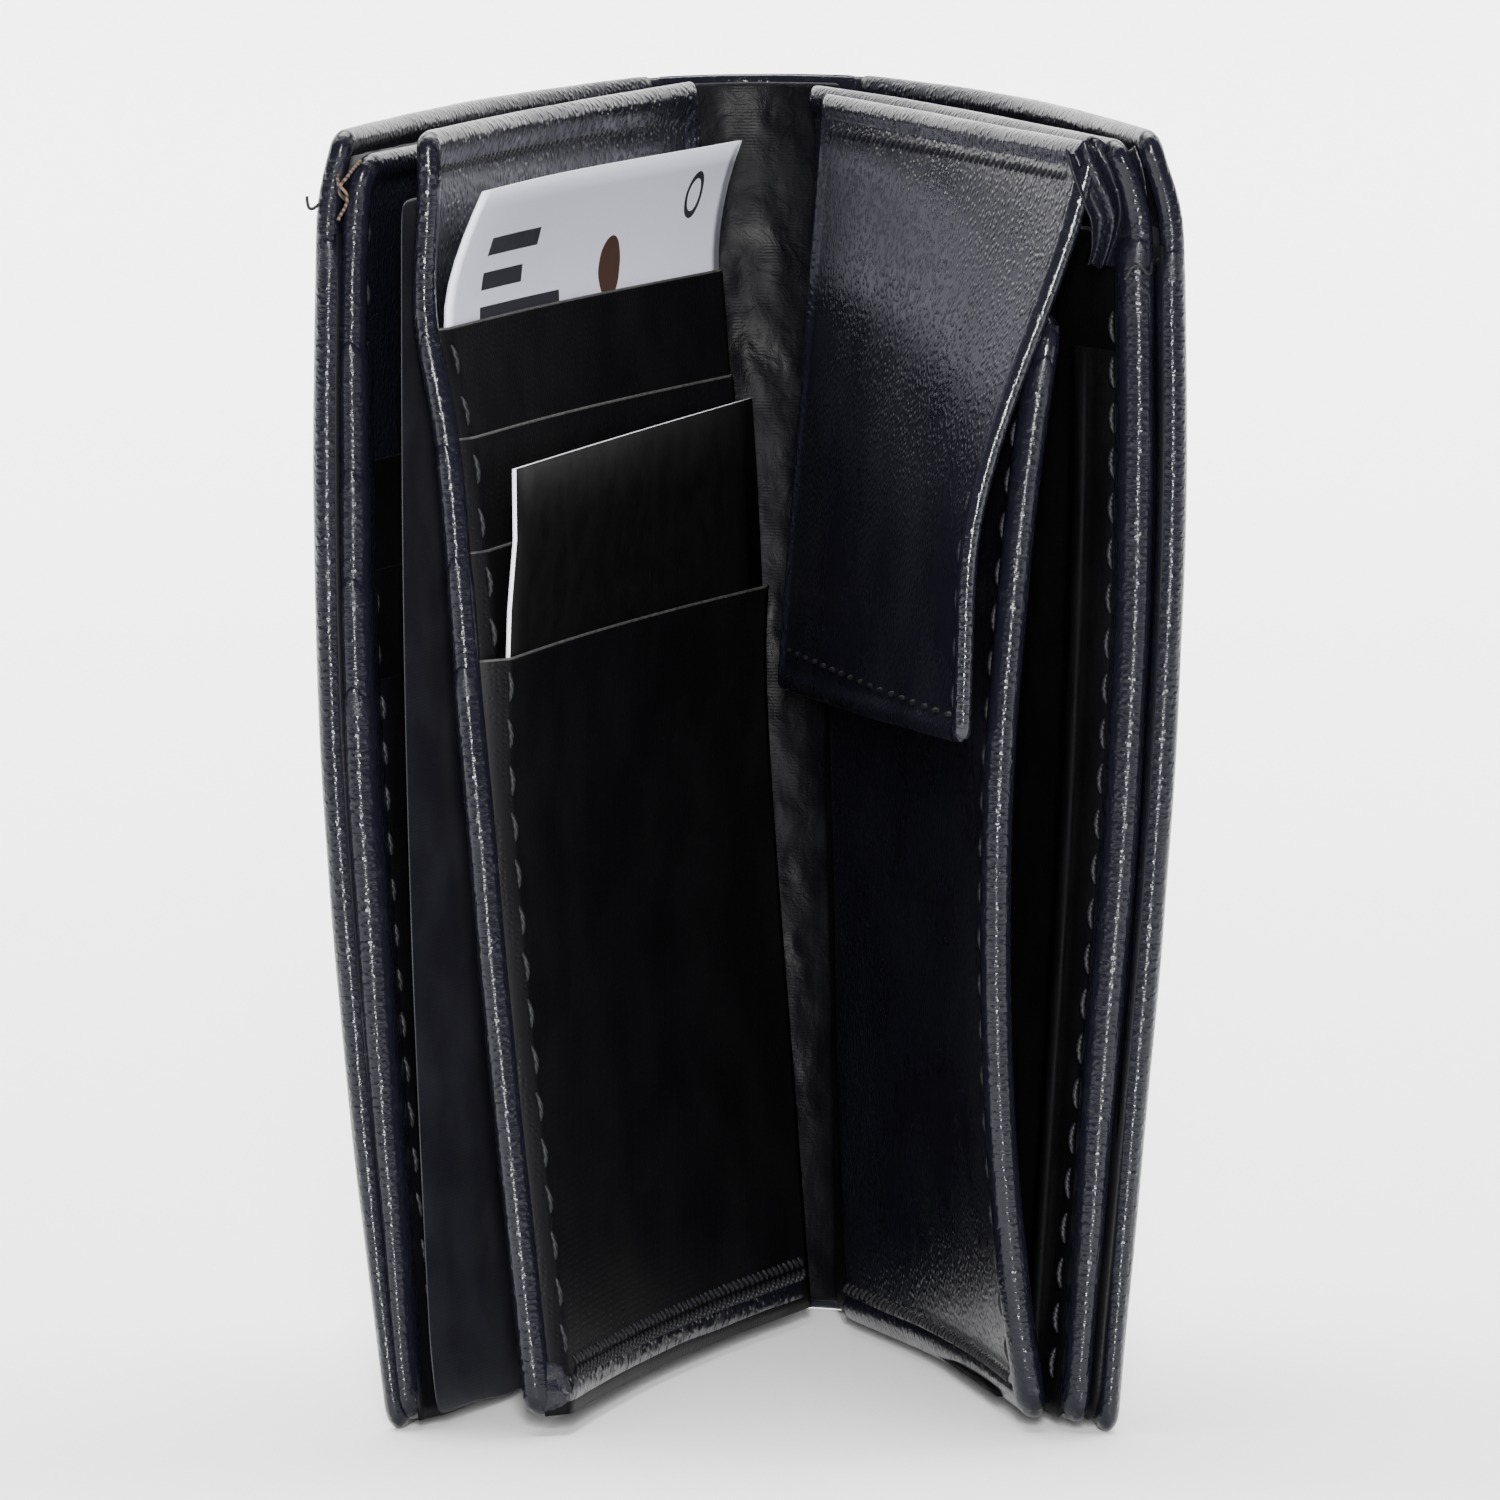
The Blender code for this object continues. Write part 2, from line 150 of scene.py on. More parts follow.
def set_positions(obj: bpy.types.Object, co: Array) -> None:
    """Writes vertex positions back to the object."""
    obj.data.vertices.foreach_set("co", co.ravel())
    obj.data.update()


def uneven(points: Array, size: float, seed: float = 0.0) -> Array:
    """Smooth unevenness between -1 and 1, with features of the given size in metres."""
    return np.array([noise.noise(Vector((p[0] / size + seed, p[1] / size, p[2] / size))) for p in points])


def add_attribute(obj: bpy.types.Object, name: str, values: Array) -> None:
    """Stores one number per vertex for the materials to read."""
    layer = obj.data.attributes.new(name, "FLOAT", "POINT")
    layer.data.foreach_set("value", values.astype(np.float32))


def apply_modifiers(obj: bpy.types.Object) -> None:
    """Applies every modifier on the object in order.

    Args:
        obj: the object.
    """
    select_only(obj)
    for modifier in list(obj.modifiers):
        bpy.ops.object.modifier_apply(modifier=modifier.name)


def shade_smooth(obj: bpy.types.Object) -> None:
    """Shades every face of the object smooth."""
    obj.data.polygons.foreach_set("use_smooth", [True] * len(obj.data.polygons))


@contextmanager
def editing() -> Iterator[None]:
    """Edit mode on the active object with all of it selected, then object mode again."""
    bpy.ops.object.mode_set(mode="EDIT")
    bpy.ops.mesh.select_all(action="SELECT")
    yield
    bpy.ops.object.mode_set(mode="OBJECT")


def soften(obj: bpy.types.Object, levels: int) -> None:
    """Rounds the piece off with a subdivision surface, applied.

    Args:
        obj: the object.
        levels: how many times its faces are divided.
    """
    soft = obj.modifiers.new("soft", "SUBSURF")
    soft.levels = soft.render_levels = levels
    apply_modifiers(obj)


def double_grid(name: str, columns: int, rows: int) -> tuple[bpy.types.Object, Array, Array, Array]:
    """Two grids joined along their borders, from which every sheet and panel is shaped.

    Args:
        name: the piece's name.
        columns: cells across.
        rows: cells up.

    Returns:
        The mesh object, and each vertex's share across, share up and side (0 outside, 1 inside).
    """
    bpy.ops.mesh.primitive_grid_add(x_subdivisions=columns, y_subdivisions=rows, size=1.0)
    obj = bpy.context.object
    obj.name = obj.data.name = name
    with editing():
        bpy.ops.mesh.extrude_region_move(TRANSFORM_OT_translate={"value": (0.0, 0.0, 1.0)})
    co = positions(obj)
    return obj, co[:, 0] + 0.5, co[:, 1] + 0.5, np.round(co[:, 2])


def face_outwards() -> None:
    """Turns every normal of the active object outwards."""
    with editing():
        bpy.ops.mesh.normals_make_consistent(inside=False)


def onto_arc(
    u: Array, z: Array, end: float, level: float, sign: int, corner: float
) -> tuple[Array, Array, Array, Array]:
    """Pulls the points in a square fore corner onto an arc.

    Args:
        u: coordinates along the half.
        z: coordinates up it.
        end: the fore edge.
        level: the head or foot that meets it.
        sign: 1 at the head, -1 at the foot.
        corner: radius of the arc.

    Returns:
        The new coordinates along and up, which points were in the corner, and their distance from the edge.
    """
    a, b = u - (end - corner), (z - (level - sign * corner)) * sign
    inside = (a > 0) & (b > 0)
    longest = np.maximum(a, b)
    k = np.where(inside, longest / np.maximum(np.hypot(a, b), 1e-9), 1.0)
    u = np.where(inside, end - corner + a * k, u)
    z = np.where(inside, level - sign * corner + sign * b * k, z)
    return u, z, inside, corner - longest


# ---------------------------------------------------------------------------------------------------------
# Finishes


class Tree:
    """A material's node tree, with one call to add a node."""

    def __init__(self, name: str) -> None:
        """Starts a material that holds only its shader and output.

        Args:
            name: its name.
        """
        self.material = bpy.data.materials.new(name)
        self.material.use_nodes = True
        self.nodes = self.material.node_tree.nodes
        self.shader = self.nodes["Principled BSDF"]
        self.place = self.add("TexCoord").outputs["Object"]

    def add(self, kind: str, settings: dict | None = None, **sockets: object) -> bpy.types.Node:
        """Adds a node, sets its properties, and fills its sockets with values or links.

        Args:
            kind: the node's type, without the ShaderNode prefix.
            settings: node properties by name.
            sockets: an input's name or index (as i0, i1) to a value or an output socket.

        Returns:
            The new node.
        """
        node = self.nodes.new("ShaderNode" + kind)
        for key, value in (settings or {}).items():
            setattr(node, key, value)
        for key, value in sockets.items():
            self.plug(node, key, value)
        return node

    def plug(self, node: bpy.types.Node, key: str, value: object) -> None:
        """Sets or links one input of a node.

        Args:
            node: the node.
            key: the input's name or index.
            value: a value or an output socket.
        """
        place = int(key[1:]) if key[0] == "i" and key[1:].isdigit() else key.replace("_", " ")
        if isinstance(value, bpy.types.NodeSocket):
            self.material.node_tree.links.new(value, node.inputs[place])
        else:
            node.inputs[place].default_value = value

    def ramp(
        self, value: object, low: float, high: float, out_low: float = 0.0, out_high: float = 1.0
    ) -> bpy.types.NodeSocket:
        """Maps a value from one range to another with soft ends.

        Args:
            value: the input socket.
            low: the low end of the input.
            high: the high end of the input.
            out_low: what the low end becomes.
            out_high: what the high end becomes.

        Returns:
            The mapped value.
        """
        node = self.add("MapRange", {"interpolation_type": "SMOOTHSTEP"}, Value=value, From_Min=low, From_Max=high,
                        To_Min=out_low, To_Max=out_high)
        return node.outputs[0]

    def math(self, operation: str, a: object, b: object = 0.0) -> bpy.types.NodeSocket:
        """One arithmetic step."""
        return self.add("Math", {"operation": operation}, i0=a, i1=b).outputs[0]

    def noise(self, scale: float, detail: float, **sockets: object) -> bpy.types.NodeSocket:
        """Cloudy noise in the object's own coordinates, unless another Vector is given."""
        sockets = {"Vector": self.place, **sockets}
        return self.add("TexNoise", Scale=scale, Detail=detail, **sockets).outputs["Fac"]

    def bump(self, height: object, distance: float, strength: float, **sockets: object) -> bpy.types.NodeSocket:
        """A bump, over the Normal of another one if that is given."""
        return self.add("Bump", Height=height, Distance=distance, Strength=strength, **sockets).outputs[0]

    def set(self, **sockets: object) -> None:
        """Sets or links inputs of the shader, whose names are given with underscores for spaces."""
        for key, value in sockets.items():
            self.plug(self.shader, key, value)

    def mix(self, factor: object, a: object, b: object) -> bpy.types.NodeSocket:
        """Mixes two colours."""
        return self.add("Mix", {"data_type": "RGBA"}, i0=factor, i6=a, i7=b).outputs[2]


@dataclass(frozen=True)
class GrainedLeather:
    """Corrected-grain cowhide, embossed with a fine pebble, dyed through and finished with a resin coat.

    The resin coat gives the soft broad highlights, and the pebble breaks them into small glints. Where the
    leather is turned over an edge it is drawn tight, so it shines more and creases across the edge.
    """

    name: str
    colour: str = "#0d0d15"
    worn: str = "#16161d"
    roughness: float = 0.31
    pebble: float = 0.66 * MM
    depth: float = 0.13 * MM
    crease: float = 0.06 * MM
    gloss: float = 0.21

    def make(self) -> bpy.types.Material:
        """Builds the material.

        Returns:
            The material.
        """
        t = Tree(self.name)
        drift = t.add("TexNoise", Vector=t.place, Scale=220.0, Detail=2.0).outputs["Color"]
        offset = t.add("VectorMath", {"operation": "SCALE"}, i0=drift, Scale=0.7 * MM).outputs[0]
        moved = t.add("VectorMath", {"operation": "ADD"}, i0=t.place, i1=offset).outputs[0]
        cells = t.add("TexVoronoi", {"feature": "SMOOTH_F1"}, Vector=moved, Scale=1 / self.pebble,
                      Smoothness=0.35).outputs["Distance"]
        fine = t.noise(3600.0, 3.0)
        broad = t.noise(60.0, 3.0)
        run = t.add("Attribute", {"attribute_name": "rim_run"}).outputs["Fac"]
        reach = t.add("Attribute", {"attribute_name": "rim_distance"}).outputs["Fac"]
        across = t.add("CombineXYZ", X=t.math("MULTIPLY", run, 1150.0), Y=t.math("MULTIPLY", reach, 260.0)).outputs[0]
        crease = t.noise(1.0, 4.0, Vector=across, Roughness=0.65)
        at_rim = t.ramp(reach, 1.5 * MM, 3.2 * MM, 1.0, 0.0)
        tight = t.math("SUBTRACT", 1.0, t.math("MULTIPLY", at_rim, 0.6))
        pebbles = t.math("MULTIPLY", t.ramp(cells, 0.05, 0.6, 1.0, 0.0), t.ramp(broad, 0.3, 0.7, 0.65, 1.0))
        pebbles = t.math("MULTIPLY", pebbles, tight)
        first = t.bump(pebbles, self.depth, 0.95)
        second = t.bump(fine, 0.05 * MM, 0.6, Normal=first)
        rim_height = t.math("MULTIPLY", crease, at_rim)
        third = t.bump(rim_height, self.crease * 1.5, 0.8, Normal=second)
        t.set(Normal=third)
        # Lighter on the crease ridges along a rolled edge.
        tone = t.mix(t.math("MULTIPLY", at_rim, t.ramp(crease, 0.5, 0.75)), linear(self.colour), linear(self.worn))
        t.set(Base_Color=tone)
        rough = t.ramp(broad, 0.3, 0.7, self.roughness - 0.05, self.roughness + 0.07)
        t.set(Roughness=t.math("SUBTRACT", rough, t.math("MULTIPLY", at_rim, 0.13)), IOR=1.5)
        t.set(Specular_IOR_Level=self.gloss, Coat_Weight=0.1, Coat_Roughness=0.2)
        return t.material


@dataclass(frozen=True)
class SkiverLeather:
    """Thin split leather of the pockets, plated with a fine dot emboss, which leaves it flat and dark."""

    name: str
    colour: str = "#050507"
    roughness: float = 0.52

    def make(self) -> bpy.types.Material:
        """Builds the material.

        Returns:
            The material.
        """
        t = Tree(self.name)
        dots = t.add("TexVoronoi", {"feature": "F1"}, Vector=t.place, Scale=1 / (0.62 * MM),
                     Randomness=0.35).outputs["Distance"]
        cloud = t.noise(90.0, 3.0)
        grain = t.noise(2400.0, 3.0)
        first = t.bump(t.ramp(dots, 0.05, 0.45), 0.05 * MM, 0.6)
        second = t.bump(grain, 0.03 * MM, 0.4, Normal=first)
        t.set(Normal=second, Roughness=t.ramp(cloud, 0.3, 0.7, self.roughness - 0.03, self.roughness + 0.04))
        t.set(Base_Color=t.mix(t.ramp(cloud, 0.35, 0.7), linear(self.colour), linear("#08080a")), IOR=1.4)
        t.set(Specular_IOR_Level=0.14)
        return t.material


@dataclass(frozen=True)
class WovenLining:
    """Fine filament polyester or coated nylon, a tight plain weave with a cool sheen along its threads."""

    name: str
    colour: str = "#0d0d11"
    bright: str = "#131318"
    roughness: float = 0.5
    thread: float = 0.32 * MM
    wrinkle: float = 0.0
    gloss: float = 0.4
    sheen: float = 0.05

    def make(self) -> bpy.types.Material:
        """Builds the material.

        Returns:
            The material.
        """
        t = Tree(self.name)
        up = t.add("TexWave", {"bands_direction": "Z"}, Vector=t.place, Scale=math.tau / self.thread / 20,
                   Distortion=0.4, Detail_Scale=2.0).outputs["Fac"]
        side = t.add("TexWave", {"bands_direction": "Y"}, Vector=t.place, Scale=math.tau / self.thread / 20,
                     Distortion=0.4, Detail_Scale=2.0).outputs["Fac"]
        weave = t.math("MULTIPLY", up, side)
        cloud = t.noise(140.0, 4.0)
        first = t.bump(weave, 0.03 * MM, 0.4)
        folds = t.noise(420.0, 5.0, Roughness=0.6, Distortion=1.2)
        second = t.bump(folds, max(self.wrinkle, 0.02 * MM), 0.7, Normal=first)
        t.set(Normal=second, Roughness=t.ramp(cloud, 0.3, 0.7, self.roughness - 0.08, self.roughness + 0.1))
        t.set(Base_Color=t.mix(t.ramp(cloud, 0.3, 0.75), linear(self.colour), linear(self.bright)))
        t.set(Specular_IOR_Level=self.gloss, Sheen_Weight=self.sheen, Sheen_Tint=linear("#9a98a6"))
        return t.material


@dataclass(frozen=True)
class TwistedThread:
    """Bonded polyester sewing thread, whose twist shows as fine slanted ribs."""

    name: str
    colour: str = "#0a0a0d"

    def make(self) -> bpy.types.Material:
        """Builds the material.

        Returns:
            The material.
        """
        t = Tree(self.name)
        ribs = t.add("TexWave", {"bands_direction": "DIAGONAL"}, Vector=t.place, Scale=math.tau / (0.35 * MM) / 20,
                     Distortion=0.6).outputs["Fac"]
        t.set(Normal=t.bump(ribs, 0.06 * MM, 0.8), Base_Color=t.mix(ribs, linear(self.colour), linear("#17171b")))
        t.set(Roughness=0.55, Specular_IOR_Level=0.22)
        return t.material


@dataclass(frozen=True)
class CutEdge:
    """The raw cut edge of split leather, grey-brown and fibrous, mottled dark along its fibres."""

    name: str
    colour: str = "#343130"
    dark: str = "#121112"

    def make(self) -> bpy.types.Material:
        """Builds the material.

        Returns:
            The material.
        """
        t = Tree(self.name)
        fibres = t.noise(900.0, 5.0, Roughness=0.7)
        t.set(Base_Color=t.mix(t.ramp(fibres, 0.35, 0.65), linear(self.dark), linear(self.colour)))
        t.set(Normal=t.bump(fibres, 0.1 * MM, 0.6), Roughness=0.75)
        return t.material


@dataclass(frozen=True)
class PrintedPaper:
    """Coated white card stock with a plain print of bars and simple shapes, matt with a faint cool cast."""

    name: str
    colour: str = "#cdcddb"
    ink: str = "#26262c"

    def make(self) -> bpy.types.Material:
        """Builds the material, whose print is placed by the piece's own UV map, in metres from its corner.

        Returns:
            The material.
        """
        t = Tree(self.name)
        flat = t.add("SeparateXYZ", Vector=t.add("UVMap", {"uv_map": "print"}).outputs[0])
        x, z = flat.outputs[0], flat.outputs[1]
        ink = self.bar(t, x, z, (12.0, 31.0), (47.3, 49.0))
        for span, rows in (((12.0, 27.0), (44.0, 45.7)), ((12.0, 40.0), (40.6, 42.4))):
            ink = t.math("MAXIMUM", ink, self.bar(t, x, z, span, rows))
        ring = self.disc(t, x, z, (76.0, 49.3), 2.3, 1.6)
        brown = self.disc(t, x, z, (55.0, 43.6), 3.1, 0.0)
        fleck = t.noise(1500.0, 3.0)
        tone = t.mix(t.math("MULTIPLY", fleck, 0.25), linear(self.colour), linear("#b6b6c6"))
        tone = t.mix(brown, tone, linear("#3f2c24"))
        tone = t.mix(t.math("MAXIMUM", ink, ring), tone, linear(self.ink))
        t.set(Base_Color=tone, Normal=t.bump(fleck, 0.01 * MM, 0.4), Roughness=0.42)
        return t.material

    @staticmethod
    def bar(t: Tree, x: object, z: object, span: tuple[float, float], rows: tuple[float, float]) -> object:
        """A plain printed bar between two places across and two heights, in millimetres.

        Args:
            t: the material's tree.
            x: the print's coordinate across.
            z: the print's coordinate up.
            span: where the bar starts and ends.
            rows: its lower and upper edge.

        Returns:
            1 inside the bar, 0 outside.
        """
        inside = t.math("MULTIPLY", t.math("GREATER_THAN", x, span[0] * MM), t.math("LESS_THAN", x, span[1] * MM))
        level = t.math("MULTIPLY", t.math("GREATER_THAN", z, rows[0] * MM), t.math("LESS_THAN", z, rows[1] * MM))
        return t.math("MULTIPLY", inside, level)

    @staticmethod
    def disc(t: Tree, x: object, z: object, centre: tuple[float, float], radius: float, hole: float) -> object:
        """A printed disc, or a ring if it has a hole, in millimetres.

        Args:
            t: the material's tree.
            x: the print's coordinate across.
            z: the print's coordinate up.
            centre: its middle.
            radius: its outer radius.
            hole: the radius of its hole, or 0.

        Returns:
            1 on the print, 0 off it.
        """
        dx, dz = t.math("SUBTRACT", x, centre[0] * MM), t.math("SUBTRACT", z, centre[1] * MM)
        away = t.math("SQRT", t.math("ADD", t.math("MULTIPLY", dx, dx), t.math("MULTIPLY", dz, dz)))
        solid = t.math("LESS_THAN", away, radius * MM)
        return t.math("MULTIPLY", solid, t.math("GREATER_THAN", away, hole * MM - 0.00001))


@dataclass(frozen=True)
class PlainFinish:
    """A moulded or rolled surface with only fine irregularities: card plastic, its pale core, foil, nickel."""

    name: str
    colour: str
    roughness: float
    metallic: float = 0.0
    uneven: float = 0.06
    gloss: float = 0.5

    def make(self) -> bpy.types.Material:
        """Builds the material.

        Returns:
            The material.
        """
        t = Tree(self.name)
        cloud = t.noise(300.0, 4.0)
        t.set(Roughness=t.ramp(cloud, 0.3, 0.7, self.roughness - self.uneven, self.roughness + self.uneven))
        t.set(Normal=t.bump(cloud, 0.02 * MM, 0.3), Base_Color=linear(self.colour), Metallic=self.metallic)
        t.set(Specular_IOR_Level=self.gloss)
        return t.material


class Finishes:
    """Every finish of the wallet, made once."""

    def __init__(self) -> None:
        """Makes the materials."""
        self.leather = GrainedLeather("black_grained_cowhide").make()
        self.polished = GrainedLeather("black_polished_cowhide", roughness=0.29, gloss=0.38).make()
        self.pebbled = GrainedLeather("black_pebbled_cowhide", roughness=0.33, pebble=0.9 * MM, depth=0.24 * MM,
                                      gloss=0.32).make()
        self.skiver = SkiverLeather("black_skiver").make()
        self.lining = WovenLining("black_polyester_lining", roughness=0.55).make()
        self.crumpled = WovenLining("crumpled_black_lining", colour="#050507", bright="#0a0a0d", roughness=0.5,
                                     wrinkle=0.25 * MM, gloss=0.08, sheen=0.0).make()
        self.nylon = WovenLining("coated_nylon", colour="#0f0f16", bright="#14141b", roughness=0.52,
                                 gloss=0.26, sheen=0.02).make()
        # Painted shade: the gussets' nylon is painted near black, far darker than the other nylon, so that their lit
        # fold edges stay hidden in the gap.
        self.gusset = WovenLining("pocket_gusset_nylon", colour="#030304", bright="#060607", roughness=0.7,
                                  wrinkle=0.2 * MM, gloss=0.05, sheen=0.0).make()
        self.thread = TwistedThread("bonded_black_thread").make()
        self.tan_thread = TwistedThread("tan_thread_end", colour="#5d4a38").make()
        self.raw = CutEdge("raw_leather_edge").make()
        self.paper = PrintedPaper("printed_card_stock").make()
        self.card = PlainFinish("black_card_plastic", "#080708", 0.55, gloss=0.1).make()
        self.core = PlainFinish("pale_card_core", "#dcdce2", 0.5).make()
        self.foil = PlainFinish("shielding_foil", "#a9abb0", 0.35, 1.0).make()
        self.nickel = PlainFinish("nickel_plate", "#9b9ba0", 0.25, 1.0).make()


# ---------------------------------------------------------------------------------------------------------
# Axes and shapes


@dataclass(frozen=True)
class Axes:
    """Where a half or a hinged piece lies: along it from its hinge, into the stack, and up its hinge."""

    origin: Array
    along: Array
    inward: Array
    up: Array

    @classmethod
    def of(cls, joint: str, node: str, side: int) -> "Axes":
        """Reads the axes from a joint of the frame and the widest face of a CAD node.

        Args:
            joint: the joint whose line is the hinge.
            node: a flat node that moves with it.
            side: -1 for the left half, 1 for the right.

        Returns:
            The axes at rest.
        """
        found = next(j for j in frame["joints"] if j["name"] == joint)
        up = unit(found["axis"])
        up = up if up[2] > 0 else -up
        mesh = frame["nodes"][node].data
        face = max(mesh.polygons, key=lambda p: p.area)
        normal = np.array(face.normal)
        inward = unit(normal - up * normal.dot(up))
        inward = inward if inward[0] * side < 0 else -inward
        along = unit(np.cross(inward, up))
        along = along if along[1] < 0 else -along
        return cls(np.array(found["pos_m"]), along, inward, up)

    def place(self, u: Array, w: Array, z: Array) -> Array:
        """World positions of points given along, inwards and up."""
        u, w, z = (np.asarray(x, float)[..., None] for x in (u, w, z))
        return self.origin + self.along * u + self.inward * w + self.up * z

    def read(self, points: Array) -> tuple[Array, Array, Array]:
        """The along, inward and up coordinates of world points."""
        away = points - self.origin
        return away @ self.along, away @ self.inward, away @ self.up


COVER_BOW = 5.0 * MM
RIGHT_GATHER = 5.0 * MM
SPINE_BULGE = 5.6 * MM


def bow(f: Array) -> Array:
    """How far a half bows outwards between its fold and its fore edge, at a share f of its length."""
    return COVER_BOW * np.sin(math.pi * np.clip(f, 0.0, 1.0) ** 0.75)


def left_shape(u: Array, z: Array) -> Array:
    """Inward offset of the left cover: bowed both ways, its top fore corner curling in.

    Args:
        u: coordinates along the half from its hinge.
        z: coordinates up the hinge.

    Returns:
        The offset.
    """
    f, t = u / COVER_LENGTH, z / HEIGHT
    belly = 3.2 * MM * f * np.sin(math.pi * np.clip(t, 0, 1))
    tip = 1.5 * MM * f * smooth(z, 117 * MM, HEIGHT)
    return -bow(f) * (0.75 + 0.25 * t) - belly + tip


def left_inner_shape(u: Array, z: Array) -> Array:
    """Inward offset of the left card panel, which runs straighter than the cover behind it."""
    f, t = u / COVER_LENGTH, np.clip(z / HEIGHT, 0, 1)
    return left_shape(u, z) + 0.5 * bow(f) - 0.4 * MM * f - 1.2 * MM * f * (1 - t) ** 4


def right_shape(u: Array, z: Array) -> Array:
    """Inward offset of the right cover: bowed, its fold drawn in at the top.

    Args:
        u: coordinates along the half from its hinge.
        z: coordinates up the hinge.

    Returns:
        The offset.
    """
    f, t = u / COVER_LENGTH, np.clip(z / HEIGHT, 0, 1)
    edge = f * (1.9 * MM * (1 - t) ** 2 - 2.0 * MM * np.sin(math.pi * t**1.3))
    tip = 2.2 * MM * f * smooth(z, 116 * MM, HEIGHT)
    return RIGHT_GATHER * t * (1 - f) - bow(f) * (0.75 + 0.25 * t) + edge + tip


def right_inner_shape(u: Array, z: Array) -> Array:
    """Inward offset of the panel behind the coin pocket."""
    f, t = u / COVER_LENGTH, z / HEIGHT
    return right_shape(u, z) + 0.6 * bow(f) + 3.0 * MM * t * (1 - f)


def leaf_shape(u: Array, z: Array) -> Array:
    """Inward offset of the card leaf: it twists in at its foot and flares a little below its top corner.

    Args:
        u: coordinates along the half from its hinge.
        z: coordinates up the hinge.

    Returns:
        The offset.
    """
    f, t = u / LEAF_LENGTH, np.clip(z / HEIGHT, 0, 1)
    edge = 1.1 * MM * (1 - t) ** 1.5 - 0.7 * MM * np.sin(math.pi * t)
    flare = -1.5 * MM * np.exp(-(((z - 107 * MM) / (9 * MM)) ** 2))
    return f * (edge + flare) - 2.0 * MM * np.sin(math.pi * np.clip(f, 0, 1))


def divider_shape(u: Array, z: Array) -> Array:
    """Inward offset of the nylon divider: it follows the leaf, and ripples towards its foot.

    Args:
        u: coordinates along the half from its hinge.
        z: coordinates up the hinge.

    Returns:
        The offset.
    """
    f, t = np.clip(u / (77 * MM), 0, 1), np.clip(z / HEIGHT, 0, 1)
    hang = f * (-3.6 * MM * (1 - t) - 1.2 * MM * np.sin(math.pi * t)) - 1.6 * MM * np.sin(math.pi * f)
    return hang + 0.5 * MM * np.sin(9 * f + 1.0) * (1 - t) ** 2


def coin_shape(u: Array, z: Array) -> Array:
    """Inward offset of the coin pocket's front: full in the middle and gathered at its foot.

    Args:
        u: coordinates along the half from its hinge.
        z: coordinates up the hinge.

    Returns:
        The offset.
    """
    f, t = np.clip(u / COIN_LENGTH, 0, 1), np.clip(z / COIN_MOUTH, 0, 1)
    edge = 2.1 * MM * np.sin(math.pi * t**0.8) - 4.4 * MM * (1 - t) ** 3 - 1.9 * MM * t**6
    return f * edge + (1 - f) * 6.5 * MM * t - 2.0 * MM * np.sin(math.pi * f)


class Side(Enum):
    """The sides of a panel that can be turned over."""

    FORE = "fore edge"
    TOP = "top"
    FOOT = "foot"
    FOLD = "fold"


ALL_ROUND = frozenset(Side)
OPEN_AT_FOLD = frozenset({Side.FORE, Side.TOP, Side.FOOT})
TURNED_STRIP = frozenset({Side.FORE, Side.FOOT})
CUT_ALL_ROUND = frozenset()


def ruled(low: float, high: float, step: float, low_rim: float, high_rim: float, seam: float) -> Array:
    """Grid lines from low to high, set close together over a rolled rim and along its seam.

    Args:
        low: the first line.
        high: the last line.
        step: spacing over the open middle.
        low_rim: radius of the rim at the low side, or 0 for a plain cut.
        high_rim: the same at the high side.
        seam: distance of the seam's groove from a rim, or 0 for none.

    Returns:
        The lines in order.
    """

    def rim_lines(rim: float) -> list[float]:
        """Distances from one edge that its rim and seam need.

        Args:
            rim: radius of the rim.

        Returns:
            The distances in order.
        """
        near = [0.0, 0.12 * rim, 0.35 * rim, 0.7 * rim, 1.1 * rim] if rim else [0.0]
        groove = [seam - 0.7 * MM, seam - 0.3 * MM, seam, seam + 0.3 * MM, seam + 0.8 * MM] if rim and seam else []
        return near + [g for g in groove if g > near[-1] + 0.1 * MM]

    first, last = rim_lines(low_rim), rim_lines(high_rim)
    start, end = low + first[-1], high - last[-1]
    count = max(2, round((end - start) / step))
    middle = list(np.linspace(start, end, count + 1)[1:-1])
    return np.array([low + d for d in first] + middle + [high - d for d in reversed(last)])


